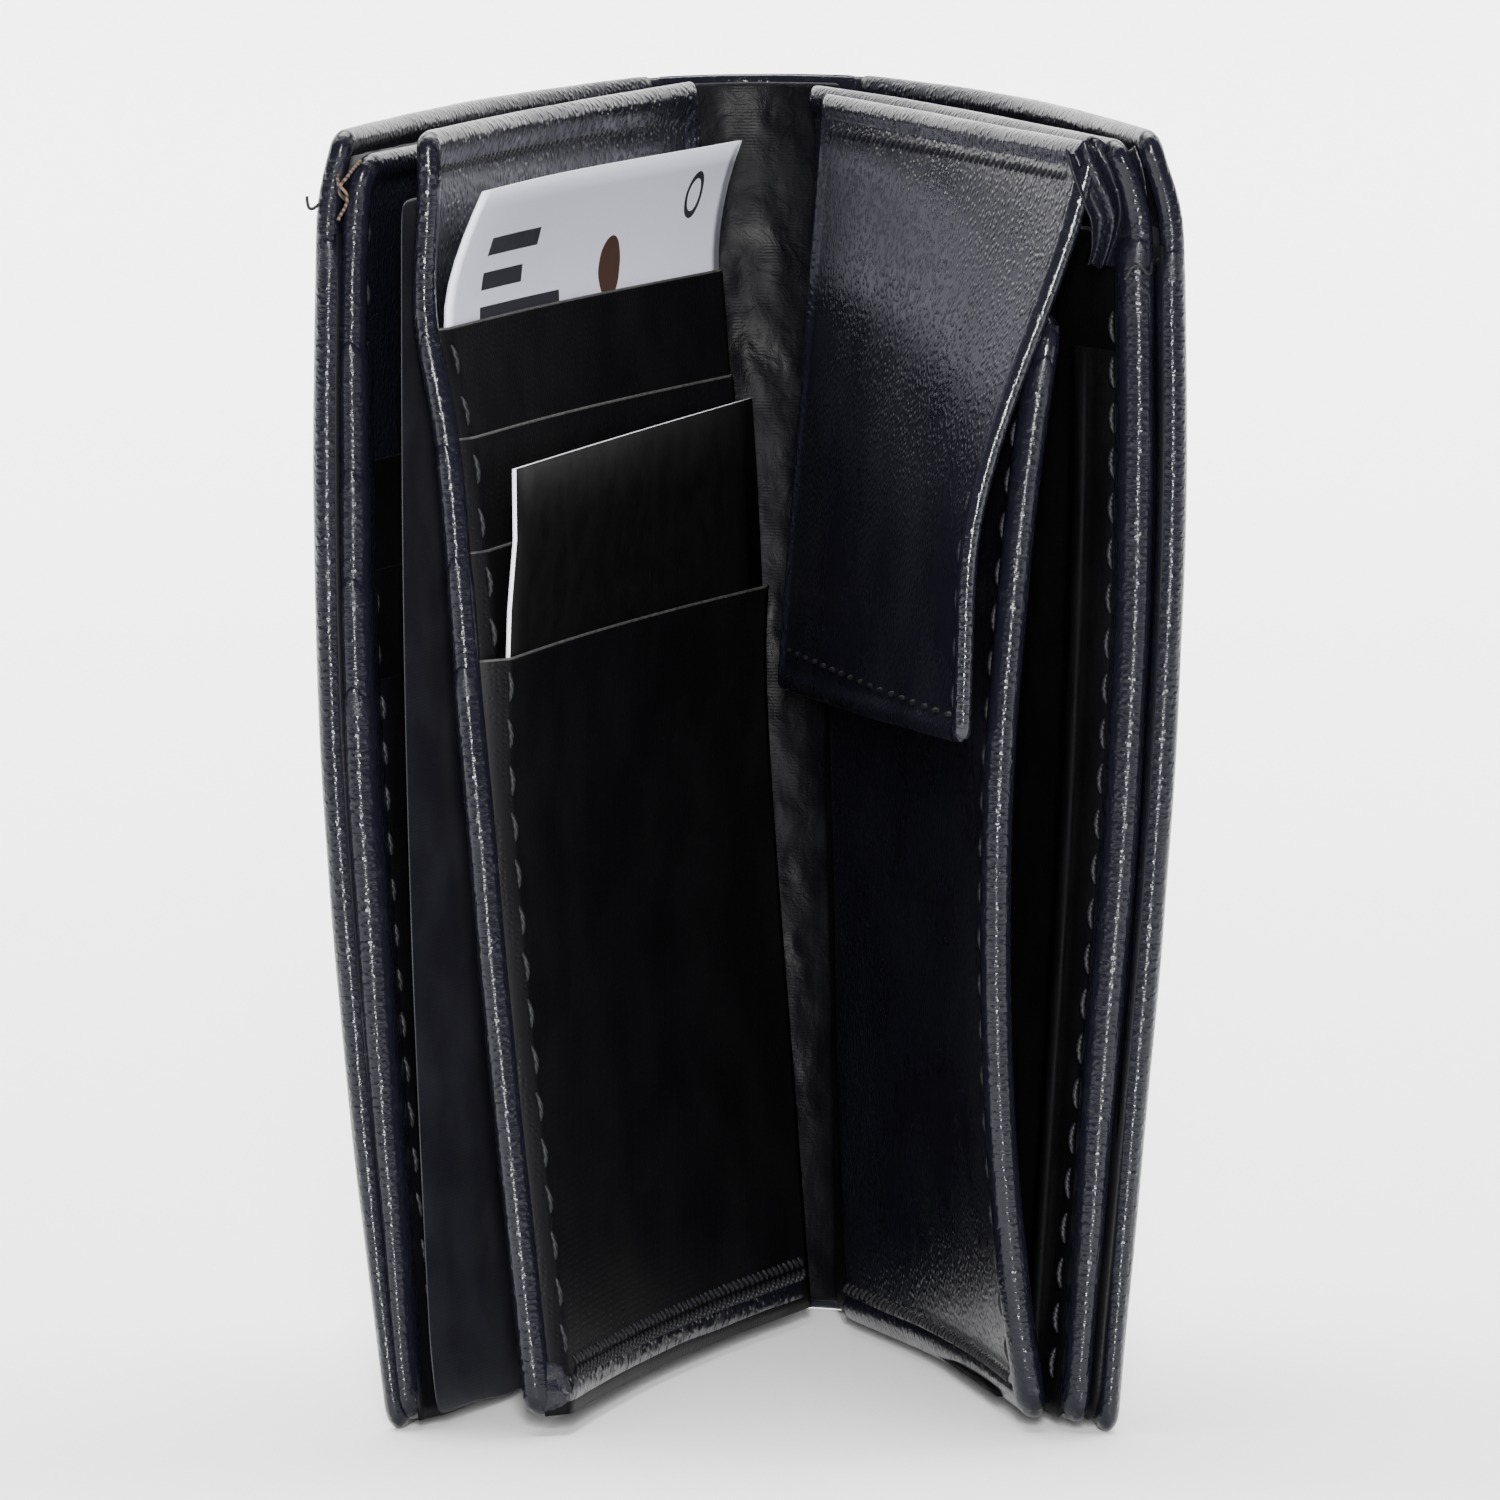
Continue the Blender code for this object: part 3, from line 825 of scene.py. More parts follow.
@dataclass
class Panel:
    """A leather panel with turned edges, built as a grid and shaped by its half."""

    name: str
    axes: Axes
    shape: Shape
    start: float
    end: float
    low: float
    high: float
    outer: float
    thickness: float
    rims: frozenset[Side] = OPEN_AT_FOLD
    corner: float = 3.5 * MM
    seam: float = 3.0 * MM
    body: float = 0.72
    step: float = 3.2 * MM
    wobble: float = 0.12 * MM
    swell: Shape | None = None
    levels: int = 1
    foot_pinch: float = 0.0
    foot_drop: float = 0.0
    lip: float = 0.0

    @property
    def rim(self) -> float:
        """Radius of the rolled rim."""
        return 0.62 * self.thickness

    def reach(self, u: Array, z: Array) -> Array:
        """Distance to the nearest rolled edge, before the corners are rounded.

        Args:
            u: coordinates along the half from its hinge.
            z: coordinates up the hinge.

        Returns:
            The distances.
        """
        sides = {Side.FORE: self.end - u, Side.TOP: self.high - z, Side.FOOT: z - self.low, Side.FOLD: u - self.start}
        found = [sides[side] for side in Side if side in self.rims]
        return np.minimum.reduce(found) if found else np.full(np.shape(u), 1.0)

    def squeeze(self, z: Array) -> Array:
        """Share of the full thickness that is left near the foot, where the layers are pressed together."""
        return 1 - self.foot_pinch * (1 - smooth(z - self.low, 0.0, 45 * MM))

    def fullness(self, u: Array, z: Array, distance: Array) -> Array:
        """The swell of the inner face, which runs out over a rolled edge.

        Args:
            u: coordinates along the half from its hinge.
            z: coordinates up the hinge.
            distance: distance from the rolled edge.

        Returns:
            The extra thickness.
        """
        if self.swell is None:
            return np.zeros(np.shape(u))
        return self.swell(u, z) * np.sqrt(1 - (1 - np.clip(distance / (1.5 * self.rim), 0.0, 1.0)) ** 2)

    def half(self, distance: Array) -> Array:
        """Half the panel's thickness at a distance from its rolled edge.

        Args:
            distance: distance from the rolled edge.

        Returns:
            Half the thickness.
        """
        r = self.rim
        near = np.clip(distance / r, 0.02, 1.0)
        rolled = np.sqrt(1 - (1 - near) ** 2)
        thinned = 1 - (1 - self.body) * smooth(distance, r, max(self.seam, 2 * r))
        groove = 0.10 * np.exp(-(((distance - self.seam) / (0.42 * MM)) ** 2)) if self.seam else 0.0
        return self.thickness / 2 * rolled * (thinned - groove)

    def rounded(self, u: Array, z: Array) -> tuple[Array, Array, Array]:
        """Pulls the square fore corners of a grid onto arcs.

        Args:
            u: coordinates along the half from its hinge.
            z: coordinates up the hinge.

        Returns:
            The new along and up coordinates, and the distance from the rolled edge.
        """
        distance = self.reach(u, z)
        for side, sign, level in ((Side.TOP, 1, self.high), (Side.FOOT, -1, self.low)):
            if side in self.rims and Side.FORE in self.rims and self.corner:
                u, z, inside, away = onto_arc(u, z, self.end, level, sign, self.corner)
                distance = np.where(inside, away, distance)
        return u, z, distance

    def surface(self, u: Array, z: Array, facing: int = 1) -> Array:
        """World points on the inner (1) or outer (-1) face.

        Args:
            u: coordinates along the half from its hinge.
            z: coordinates up the hinge.
            facing: 1 for the inner face, -1 for the outer.

        Returns:
            The points.
        """
        u, z = np.asarray(u, float), np.asarray(z, float)
        distance, squeeze = self.reach(u, z), self.squeeze(z)
        middle = self.outer + squeeze * self.thickness / 2 + self.shape(u, z)
        away = self.half(distance) * squeeze + self.fullness(u, z, distance) * (facing > 0)
        return self.axes.place(u, middle + facing * away, z)

    def build(self) -> bpy.types.Object:
        """Models the panel.

        Returns:
            The mesh object, at the origin.
        """
        fore, fold = (self.rim if s in self.rims else 0.0 for s in (Side.FORE, Side.FOLD))
        top, foot = (self.rim if s in self.rims else 0.0 for s in (Side.TOP, Side.FOOT))
        us = ruled(self.start, self.end, self.step, fold, fore, self.seam)
        zs = ruled(self.low, self.high, self.step, foot, top, self.seam)
        if self.lip:
            zs = np.insert(zs, len(zs) - 1, zs[-1] - self.lip)
        obj, across, up, side = double_grid(self.name, len(us) - 1, len(zs) - 1)
        columns = np.rint(across * (len(us) - 1)).astype(int)
        rows = np.rint(up * (len(zs) - 1)).astype(int)
        facing = 2 * side - 1
        u, z, distance = self.rounded(us[columns], zs[rows])
        run = np.where(self.end - us[columns] < np.minimum(self.high - zs[rows], zs[rows] - self.low), z, u)
        flat = self.axes.place(u, 0 * u, z)
        rough_edge = self.wobble * uneven(flat, 9 * MM, self.outer * 1e4) * np.clip(1 - distance / (8 * MM), 0, 1)
        ripple = self.wobble * 1.3 * uneven(flat, 17 * MM, 7 + self.outer * 1e4)
        squeeze = self.squeeze(z)
        depth = self.outer + squeeze * self.thickness / 2 + self.shape(u, z) + ripple
        depth = depth + facing * (self.half(distance) * squeeze + self.fullness(u, z, distance) * (facing > 0))
        fall = (self.end - u) / (self.end - self.start) * (self.high - z) / (self.high - self.low)
        set_positions(obj, self.axes.place(u + rough_edge, depth, z + 0.5 * rough_edge - self.foot_drop * fall))
        fore = np.where(Side.FORE in self.rims, np.maximum(self.end - us[columns], 0.0), 0.02)
        add_attribute(obj, "rim_distance", fore)
        add_attribute(obj, "rim_run", run)
        face_outwards()
        if self.levels:
            soften(obj, self.levels)
        return obj


def thread_template() -> tuple[Array, list[tuple[int, ...]]]:
    """One stitch as a short tapered roll along X, from which seams are copied.

    Returns:
        Its vertex positions, for a length and radius of 1, and its faces.
    """
    bpy.ops.mesh.primitive_uv_sphere_add(segments=8, ring_count=6, radius=1.0)
    ball = bpy.context.object
    with editing():
        bpy.ops.transform.rotate(value=math.pi / 2, orient_axis="Y", center_override=(0, 0, 0))
    co = positions(ball)
    co[:, 0] = np.sign(co[:, 0]) * np.abs(co[:, 0]) ** 0.8 / 2
    faces = [tuple(p.vertices) for p in ball.data.polygons]
    bpy.data.objects.remove(ball)
    return co, faces


THREAD = thread_template()


@dataclass
class Seam:
    """A row of stitches along a line on a panel's face."""

    name: str
    panel: Panel
    line: Callable[[Array], tuple[Array, Array]]
    length: float
    pitch: float = STITCH_PITCH
    stitch: float = STITCH_LENGTH
    radius: float = THREAD_RADIUS
    slant: float = math.radians(7)
    facing: int = 1
    sunk: float = 0.45

    def build(self) -> bpy.types.Object:
        """Models the whole row as one piece.

        Returns:
            The mesh object, at the origin.
        """
        template, template_faces = THREAD
        count = int(self.length / self.pitch)
        points, faces = [], []
        for number in range(count):
            s = (number + 0.5) / count
            ds = 0.5 * MM / self.length
            here, ahead = (self.panel.surface(*self.line(np.array([x])), self.facing)[0] for x in (s, s + ds))
            forward = unit(ahead - here)
            outward = self.panel.axes.inward * self.facing
            outward = unit(outward - forward * forward.dot(outward))
            across = np.cross(outward, forward)
            tilt = self.slant + 0.05 * math.sin(number * 2.4)
            forward, across = (forward * math.cos(tilt) + across * math.sin(tilt),
                               across * math.cos(tilt) - forward * math.sin(tilt))
            local = template * np.array([self.stitch, self.radius, self.radius])
            arch = -self.radius * 1.1 * (template[:, 0] * 2) ** 2
            centre = here + outward * self.radius * (1 - 2 * self.sunk)
            body = centre + local[:, :1] * forward + local[:, 1:2] * across + (local[:, 2] + arch)[:, None] * outward
            faces += [tuple(v + number * len(template) for v in f) for f in template_faces]
            points.append(body)
        mesh = bpy.data.meshes.new(self.name)
        mesh.from_pydata(np.concatenate(points).tolist(), [], faces)
        obj = bpy.data.objects.new(self.name, mesh)
        bpy.context.scene.collection.objects.link(obj)
        return obj


def fore_line(panel: Panel, low: float, high: float) -> Callable[[Array], tuple[Array, Array]]:
    """The seam's line down a panel's fore edge between two heights."""
    return lambda s: (panel.end - panel.seam + 0 * s, high + (low - high) * s)


def level_line(start: float, end: float, height: float) -> Callable[[Array], tuple[Array, Array]]:
    """A line across a panel at one height."""
    return lambda s: (start + (end - start) * s, height + 0 * s)


def follow(
    node: str, name: str, axes: Axes, shape: Shape, rigid: bool = False, pitch: float = 7 * MM
) -> bpy.types.Object:
    """Copies a plain CAD node, cuts it into strips, and bows it the way its half bows.

    Args:
        node: the CAD node that the copy stands for.
        name: the new piece's name.
        axes: the axes that the shape is given in.
        shape: the inward offset.
        rigid: moves the whole copy by the offset at its middle, for hard pieces.
        pitch: width of the strips.

    Returns:
        The new piece, at the origin.
    """
    obj = frame["nodes"][node].copy()
    obj.data = obj.data.copy()
    obj.parent = None
    obj.name = obj.data.name = name
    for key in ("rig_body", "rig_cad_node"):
        if key in obj:
            del obj[key]
    obj.data.materials.clear()
    bpy.context.scene.collection.objects.link(obj)
    select_only(obj)
    with editing():
        bpy.ops.mesh.remove_doubles(threshold=0.005 * MM)
        if not rigid:
            bpy.ops.mesh.dissolve_limited(angle_limit=math.radians(1))
            obj.update_from_editmode()
            u, _, z = axes.read(positions(obj))
            for start, end, normal in ((u.min(), u.max(), axes.along), (z.min(), z.max(), axes.up)):
                for cut in np.linspace(start, end, max(2, round((end - start) / pitch)) + 1)[1:-1]:
                    bpy.ops.mesh.select_all(action="SELECT")
                    bpy.ops.mesh.bisect(plane_co=axes.origin + normal * cut, plane_no=normal)
    u, w, z = axes.read(positions(obj))
    moved = shape(u, z) if not rigid else np.full(len(u), float(shape(np.mean([u]), np.mean([z]))))
    set_positions(obj, axes.place(u, w + moved, z))
    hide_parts(node)
    return obj


# ---------------------------------------------------------------------------------------------------------
# Sub-assemblies


def dress(obj: bpy.types.Object, body: str, slot: str, material: bpy.types.Material, *nodes: str) -> bpy.types.Object:
    """Finishes a piece and says what it belongs to.

    Args:
        obj: the piece.
        body: the body that it rides on.
        slot: its material slot in the record; not used.
        material: its finish.
        nodes: the CAD nodes that it stands for, if it isn't an extra.

    Returns:
        The same piece.
    """
    if nodes:
        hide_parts(*nodes)
    if not obj.data.materials:
        obj.data.materials.append(material)
    shade_smooth(obj)
    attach(obj, body)
    log.info("%s: %d faces on %s", obj.name, len(obj.data.polygons), body)
    return obj


def sew(body: str, finishes: Finishes, *seams: Seam) -> None:
    """Builds rows of stitches on a body, in the black thread."""
    for seam in seams:
        dress(seam.build(), body, "black_leather", finishes.thread)


def raw_mouth(obj: bpy.types.Object, axes: Axes, material: bpy.types.Material, height: float) -> None:
    """Gives the faces of a cut top edge their own finish.

    Args:
        obj: the sheet, which already has its first material.
        axes: the sheet's axes.
        material: the finish of the cut edge.
        height: the height of the cut.
    """
    obj.data.materials.append(material)
    for face in obj.data.polygons:
        level = float((np.array(face.center) - axes.origin) @ axes.up)
        if level > height - 0.2 * MM:
            face.material_index = 1


def mouth_swell(low: float, high: float, length: float, amount: float) -> Shape:
    """A pocket's mouth stands away from what is behind it, most in the middle of its length.

    Args:
        low: foot of the pocket.
        high: height of its mouth.
        length: the full length.
        amount: the greatest offset.

    Returns:
        The offset as a shape.
    """

    def swell(u: Array, z: Array) -> Array:
        """Extra inward depth at a point."""
        return amount * np.sin(math.pi * np.clip(u / length, 0, 1)) * np.exp(-(high - z) / (7 * MM)) * (z > low)

    return swell


def spine_point(left: Axes, right: Axes, t: Array, z: Array, inset: float) -> Array:
    """World points on the spine's arc between the two folds, a depth in from its outer face.

    Args:
        left: the left half's axes.
        right: the right half's axes.
        t: shares from the left fold to the right one.
        z: heights.
        inset: depth in from the outer face.

    Returns:
        The points.
    """
    edge = 0.9 * MM
    a = left.place(edge + 0 * z, left_shape(edge + 0 * z, z), z)
    b = right.place(edge + 0 * z, right_shape(edge + 0 * z, z), z)
    chord = b - a
    width = np.linalg.norm(chord, axis=-1)
    slope = np.arctan2(4 * SPINE_BULGE * (1 - 2 * t), width)
    point = a + chord * t[..., None]
    point[..., 1] += 4 * SPINE_BULGE * t * (1 - t)
    point[..., 0] += np.sin(slope) * inset
    point[..., 1] -= np.cos(slope) * inset
    return point


def shell(name: str, columns: int, rows: int, place: Callable[[Array, Array, Array], Array]) -> bpy.types.Object:
    """A thick sheet from a grid, whose place is given at every share across, share up and side.

    Args:
        name: the piece's name.
        columns: cells across.
        rows: cells up.
        place: world points from across (0 to 1), up (0 to 1) and side (0 outside, 1 inside).

    Returns:
        The mesh object, at the origin.
    """
    obj, across, up, side = double_grid(name, columns, rows)
    set_positions(obj, place(across, up, side))
    add_attribute(obj, "rim_distance", np.minimum(up, 1 - up) * HEIGHT)
    add_attribute(obj, "rim_run", (across - 0.5) * 30 * MM)
    face_outwards()
    soften(obj, 1)
    return obj


@dataclass
class Spine:
    """The soft spine: its leather, its crumpled lining, and the bends that join it to the covers."""

    left: Axes
    right: Axes
    leather: float = 1.3 * MM
    lining_depth: float = 1.7 * MM
    lining: float = 0.5 * MM
    overlap: float = 4.0 * MM
    bend_reach: float = 0.16
    crumple: float = 0.35 * MM

    def build(self, finishes: Finishes) -> None:
        """Makes the spine's pieces.

        Args:
            finishes: the wallet's finishes.
        """
        self.outer_leather(finishes)
        self.inner_lining(finishes)
        for body, axes, shape, end in (
            ("left_cover", self.left, left_shape, 0.0),
            ("right_cover", self.right, right_shape, 1.0),
        ):
            self.bend(body, axes, shape, end, finishes)

    def outer_leather(self, finishes: Finishes) -> None:
        """The leather of the back, turned over at its head and foot.

        Args:
            finishes: the wallet's finishes.
        """

        def place(across: Array, up: Array, side: Array) -> Array:
            """The sheet's points.

            Args:
                across: share across, from 0 to 1.
                up: share up, from 0 to 1.
                side: 0 on the outside, 1 on the inside.

            Returns:
                World points.
            """
            t = 0.05 + 0.9 * across
            z = HEIGHT * up
            rim = np.minimum(z, HEIGHT - z)
            pinch = 0.45 * MM * (1 - smooth(rim, 0, 1.2 * MM))
            inset = side * self.leather + pinch * (1 - 2 * side)
            return spine_point(self.left, self.right, t, z, inset)

        obj = shell("spine_back_leather", 20, 60, place)
        dress(obj, "spine", "black_leather", finishes.leather, "spine_leather")

    def inner_lining(self, finishes: Finishes) -> None:
        """The lining inside the spine, crumpled where the wallet is folded.

        Args:
            finishes: the wallet's finishes.
        """

        def place(across: Array, up: Array, side: Array) -> Array:
            """The sheet's points.

            Args:
                across: share across, from 0 to 1.
                up: share up, from 0 to 1.
                side: 0 on the outside, 1 on the inside.

            Returns:
                World points.
            """
            t = 0.1 + 0.8 * across
            z = 1.0 * MM + (HEIGHT - 1.8 * MM) * up
            flat = np.stack([across * 20 * MM, z, 0 * z], axis=-1)
            crumple = self.crumple * (1 + uneven(flat, 3.5 * MM, 3.0) + 0.6 * uneven(flat, 1.6 * MM, 5.0))
            inset = self.lining_depth + side * self.lining + side * crumple * smooth(HEIGHT - z, 0.5 * MM, 4 * MM)
            return spine_point(self.left, self.right, t, z, inset)

        obj = shell("spine_crumpled_lining", 24, 110, place)
        dress(obj, "spine", "black_lining", finishes.crumpled, "spine_lining")

    def bend(self, body: str, axes: Axes, shape: Shape, end: float, finishes: Finishes) -> None:
        """The leather that bends round a fold, from the cover to the spine.

        Args:
            body: the body whose fold the piece bends round, which also names it; the piece is not attached to it.
            axes: the axes of its half.
            shape: the inward offset.
            end: 0 at the left fold, 1 at the right.
            finishes: the wallet's finishes.
        """
        inwards = 1 if end == 0.0 else -1

        def outer(u: float, z: Array) -> Array:
            """A point on the cover's outer face."""
            return axes.place(u + 0 * z, shape(u + 0 * z, z) - 0.12 * MM, z)

        def place(across: Array, up: Array, side: Array) -> Array:
            """The sheet's points.

            Args:
                across: share across, from 0 to 1.
                up: share up, from 0 to 1.
                side: 0 on the outside, 1 on the inside.

            Returns:
                World points.
            """
            z = 0.1 * MM + (HEIGHT - 0.2 * MM) * up
            start, start_pull = outer(self.overlap, z), outer(1.2 * MM, z)
            stop = spine_point(self.left, self.right, end + inwards * self.bend_reach + 0 * z, z, -0.12 * MM)
            pull = spine_point(self.left, self.right, end + inwards * self.bend_reach * 0.4 + 0 * z, z, -0.12 * MM)
            s = across[:, None]
            line = start * (1 - s) ** 3 + 3 * start_pull * s * (1 - s) ** 2 + 3 * pull * s**2 * (1 - s) + stop * s**3
            depth = axes.inward * (1 - s) + np.array([0.0, -1.0, 0.0]) * s
            rim = np.minimum(z, HEIGHT - z)
            pinch = (0.4 * MM * (1 - smooth(rim, 0, 1.2 * MM)))[:, None]
            return line + depth * ((side * 1.5 * MM)[:, None] + pinch * (1 - 2 * side[:, None]))

        obj = shell(body.split("_")[0] + "_fold_bend", 12, 60, place)
        obj.data.materials.append(finishes.leather)
        shade_smooth(obj)
        start = outer(2.4 * MM, np.array([HEIGHT / 2]))[0]
        stop = spine_point(self.left, self.right, np.array([end + inwards * 0.1]), np.array([HEIGHT / 2]), 0.0)[0]
        tuple(start)
        tuple(stop)
        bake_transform(obj)
        log.info("%s bends between %s and the spine", obj.name, body)


@dataclass
class Cover:
    """One cover: the leather with its turned edge, foil, lining and slip pocket."""

    side: str
    axes: Axes
    shape: Shape
    thickness: float = 2.5 * MM
    slip_mouth: float = 115.0 * MM
    wrap: float = 3.4 * MM

    def build(self, finishes: Finishes) -> None:
        """Makes the cover's pieces and its stitching.

        Args:
            finishes: the wallet's finishes.
        """
        body = self.side + "_cover"
        leather = Panel(self.side + "_cover_outer", self.axes, self.shape, 0.9 * MM, COVER_LENGTH, 0.0, HEIGHT, 0.0,
                        self.thickness, body=0.6, corner=2.2 * MM, foot_pinch=0.25)
        dress(leather.build(), body, "black_leather", finishes.leather, body + "_leather")
        wrap = Panel(self.side + "_slip_pocket_turned_edge", self.axes, self.shape, COVER_LENGTH - self.wrap,
                     COVER_LENGTH + 0.12 * MM, 0.0, self.slip_mouth, -0.06 * MM, self.thickness + 0.5 * MM,
                     rims=TURNED_STRIP, body=0.86, seam=0.0, corner=2.2 * MM, foot_pinch=0.25)
        dress(wrap.build(), body, "black_leather", finishes.leather)
        for node, part, slot, material in (
            ("_shielding_foil", "_foil", "shielding_foil", finishes.foil),
            ("_cover_lining", "_lining", "black_lining", finishes.lining),
            ("_slip_pocket", "_slip_pocket_face", "black_leather", finishes.skiver),
        ):
            obj = follow(self.side + node, self.side + part, self.axes, self.shape)
            dress(obj, body, slot, material)
        for name, line, length in (
            ("fore", fore_line(leather, 5 * MM, 120 * MM), 115 * MM),
            ("head", level_line(5 * MM, 88 * MM, HEIGHT - 3 * MM), 83 * MM),
            ("foot", level_line(5 * MM, 88 * MM, 3 * MM), 83 * MM),
        ):
            sew(body, finishes, Seam(f"{self.side}_cover_{name}_stitches", leather, line, length, facing=-1))


@dataclass
class SlotRow:
    """A row of card slots, each with its leather turned over the fore edge in a step of its own.

    Near the fore edge every slot runs down into the turned edge, along the line of the running stitch.
    """

    name: str
    body: str
    node: str
    axes: Axes
    shape: Shape
    length: float
    outer: float
    thickness: float
    mouths: tuple[float, ...]
    depths: tuple[float, ...]
    low: float
    pocket: float = 51.0 * MM
    leather: float = 0.42 * MM
    grow: float = 0.12 * MM
    dive: tuple[float, float] = (5.5 * MM, 1.6 * MM)
    last_dive: tuple[float, float] = (2.4 * MM, 0.7 * MM)
    foot_pinch: float = 0.0
    last_settle: float = 0.0
    raw_lips: bool = False

    def build(self, finishes: Finishes) -> None:
        """Makes every slot's face, turned edge and stitches.

        Args:
            finishes: the wallet's finishes.
        """
        for number, (mouth, depth) in enumerate(zip(self.mouths, self.depths), 1):
            last = number == len(self.mouths)
            turned = Panel(f"{self.name}_turned_edge_{number}", self.axes, self.shape, self.length - 4.4 * MM,
                           self.length + 0.16 * MM * number, self.low, mouth, self.outer - 0.06 * MM * number,
                           self.thickness + self.grow * number, rims=TURNED_STRIP, seam=0.0,
                           body=0.86, corner=2.6 * MM, foot_pinch=self.foot_pinch)
            edge = dress(turned.build(), self.body, "black_leather", finishes.leather)
            raw_mouth(edge, self.axes, finishes.raw, mouth)
            face = self.face(number, mouth, depth, last)
            obj = dress(face.build(), self.body, "black_leather", finishes.skiver, f"{self.node}_{number}")
            if self.raw_lips:
                raw_mouth(obj, self.axes, finishes.raw, mouth)
            foot = self.low + 5 * MM if last else self.mouths[number]
            line = fore_line(face, foot, mouth - 0.6 * MM)
            sew(self.body, finishes, Seam(f"{self.name}_stitches_{number}", face, line, mouth - foot))

    def face(self, number: int, mouth: float, depth: float, last: bool) -> Panel:
        """The sizes of one slot's face.

        Args:
            number: the slot's number from the top.
            mouth: height of its mouth.
            depth: depth of its outer face in the stack.
            last: whether it is the lowest slot.

        Returns:
            The panel, not yet built.
        """
        inner, outer = self.last_dive if last else self.dive
        sink = depth - (self.outer + 0.5 * self.thickness + 0.5 * MM)
        gape = mouth_swell(0.0, mouth, self.length, 0.15 * MM)

        def laid(u: Array, z: Array) -> Array:
            """The slot's own shape: it dives into the turned edge and gapes a little at its mouth.

            Args:
                u: coordinates along the half from its hinge.
                z: coordinates up the hinge.

            Returns:
                The offset.
            """
            dip = smooth(u, self.length - inner, self.length - outer)
            settle = self.last_settle * (1 - np.exp(-(mouth - z) / (8 * MM))) if last else 0.0
            return self.shape(u, z) - (sink - settle) * dip - settle + gape(u, z) * (1 - dip)

        low = self.low if last else mouth - self.pocket
        return Panel(f"{self.name}_slot_face_{number}", self.axes, laid, 0.4 * MM, self.length - 0.9 * MM, low, mouth,
                     depth, self.leather, rims=CUT_ALL_ROUND, seam=inner * 0.45 + outer * 0.55, body=1.0, step=1.2 * MM,
                     levels=0, wobble=0.06 * MM, foot_pinch=self.foot_pinch, lip=0.22 * MM)


@dataclass
class LeftPanel:
    """The card panel behind the leaf, with four slots whose leather is turned over its fore edge in steps."""

    axes: Axes
    outer: float = 2.75 * MM
    thickness: float = 2.7 * MM
    end: float = 92.3 * MM

    def build(self, finishes: Finishes) -> None:
        """Makes the panel, its slots, its turned edges and its stitching.

        Args:
            finishes: the wallet's finishes.
        """
        base = Panel("left_panel_back", self.axes, left_inner_shape, 3 * MM, self.end, 0.8 * MM, 122.5 * MM,
                     self.outer, self.thickness, body=0.5, corner=2.6 * MM, foot_pinch=0.3)
        dress(base.build(), "left_cover", "black_leather", finishes.leather, "left_panel_base")
        SlotRow("left_panel", "left_cover", "left_panel_slot", self.axes, left_inner_shape, self.end, self.outer,
                self.thickness, PANEL_MOUTHS, (4.2 * MM, 4.65 * MM, 5.05 * MM, 5.45 * MM), 0.8 * MM, grow=0.2 * MM,
                last_dive=(5.5 * MM, 1.6 * MM), foot_pinch=0.3).build(finishes)
        guide = Panel("seam_guide", self.axes, left_inner_shape, 3 * MM, self.end, 0.8 * MM, 122.5 * MM, self.outer,
                      self.thickness, body=0.5, seam=4.0 * MM, foot_pinch=0.3)
        line = fore_line(guide, 106 * MM, 118 * MM)
        sew("left_cover", finishes, Seam("left_panel_head_stitches", guide, line, 12 * MM))


@dataclass
class Divider:
    """The thin nylon sheet that hangs between the panel and the leaf."""

    axes: Axes
    length: float = 77.0 * MM
    low: float = 0.4 * MM
    high: float = 118.0 * MM
    thickness: float = 0.22 * MM
    corner: float = 1.4 * MM

    def build(self, finishes: Finishes) -> None:
        """Makes the sheet.

        Args:
            finishes: the wallet's finishes.
        """

        def place(across: Array, up: Array, side: Array) -> Array:
            """The sheet's points.

            Args:
                across: share across, from 0 to 1.
                up: share up, from 0 to 1.
                side: 0 on the outside, 1 on the inside.

            Returns:
                World points.
            """
            u, z = across * self.length, self.low + (self.high - self.low) * up
            foot = 0.9 * MM * np.sin(u / (9 * MM)) * smooth(self.low + 9 * MM - z, 0, 9 * MM)
            for sign, level in ((1, self.high), (-1, self.low)):
                u, z, _, _ = onto_arc(u, z, self.length, level, sign, self.corner)
            z = np.where(up < 0.5, z + np.abs(foot) * 0.8, z)
            return self.axes.place(u, divider_shape(u, z) + 1.0 * MM + foot * 0.5 + side * self.thickness, z)

        obj = shell("hanging_nylon_divider", 36, 54, place)
        dress(obj, "divider", "black_nylon", finishes.nylon, "nylon_divider")


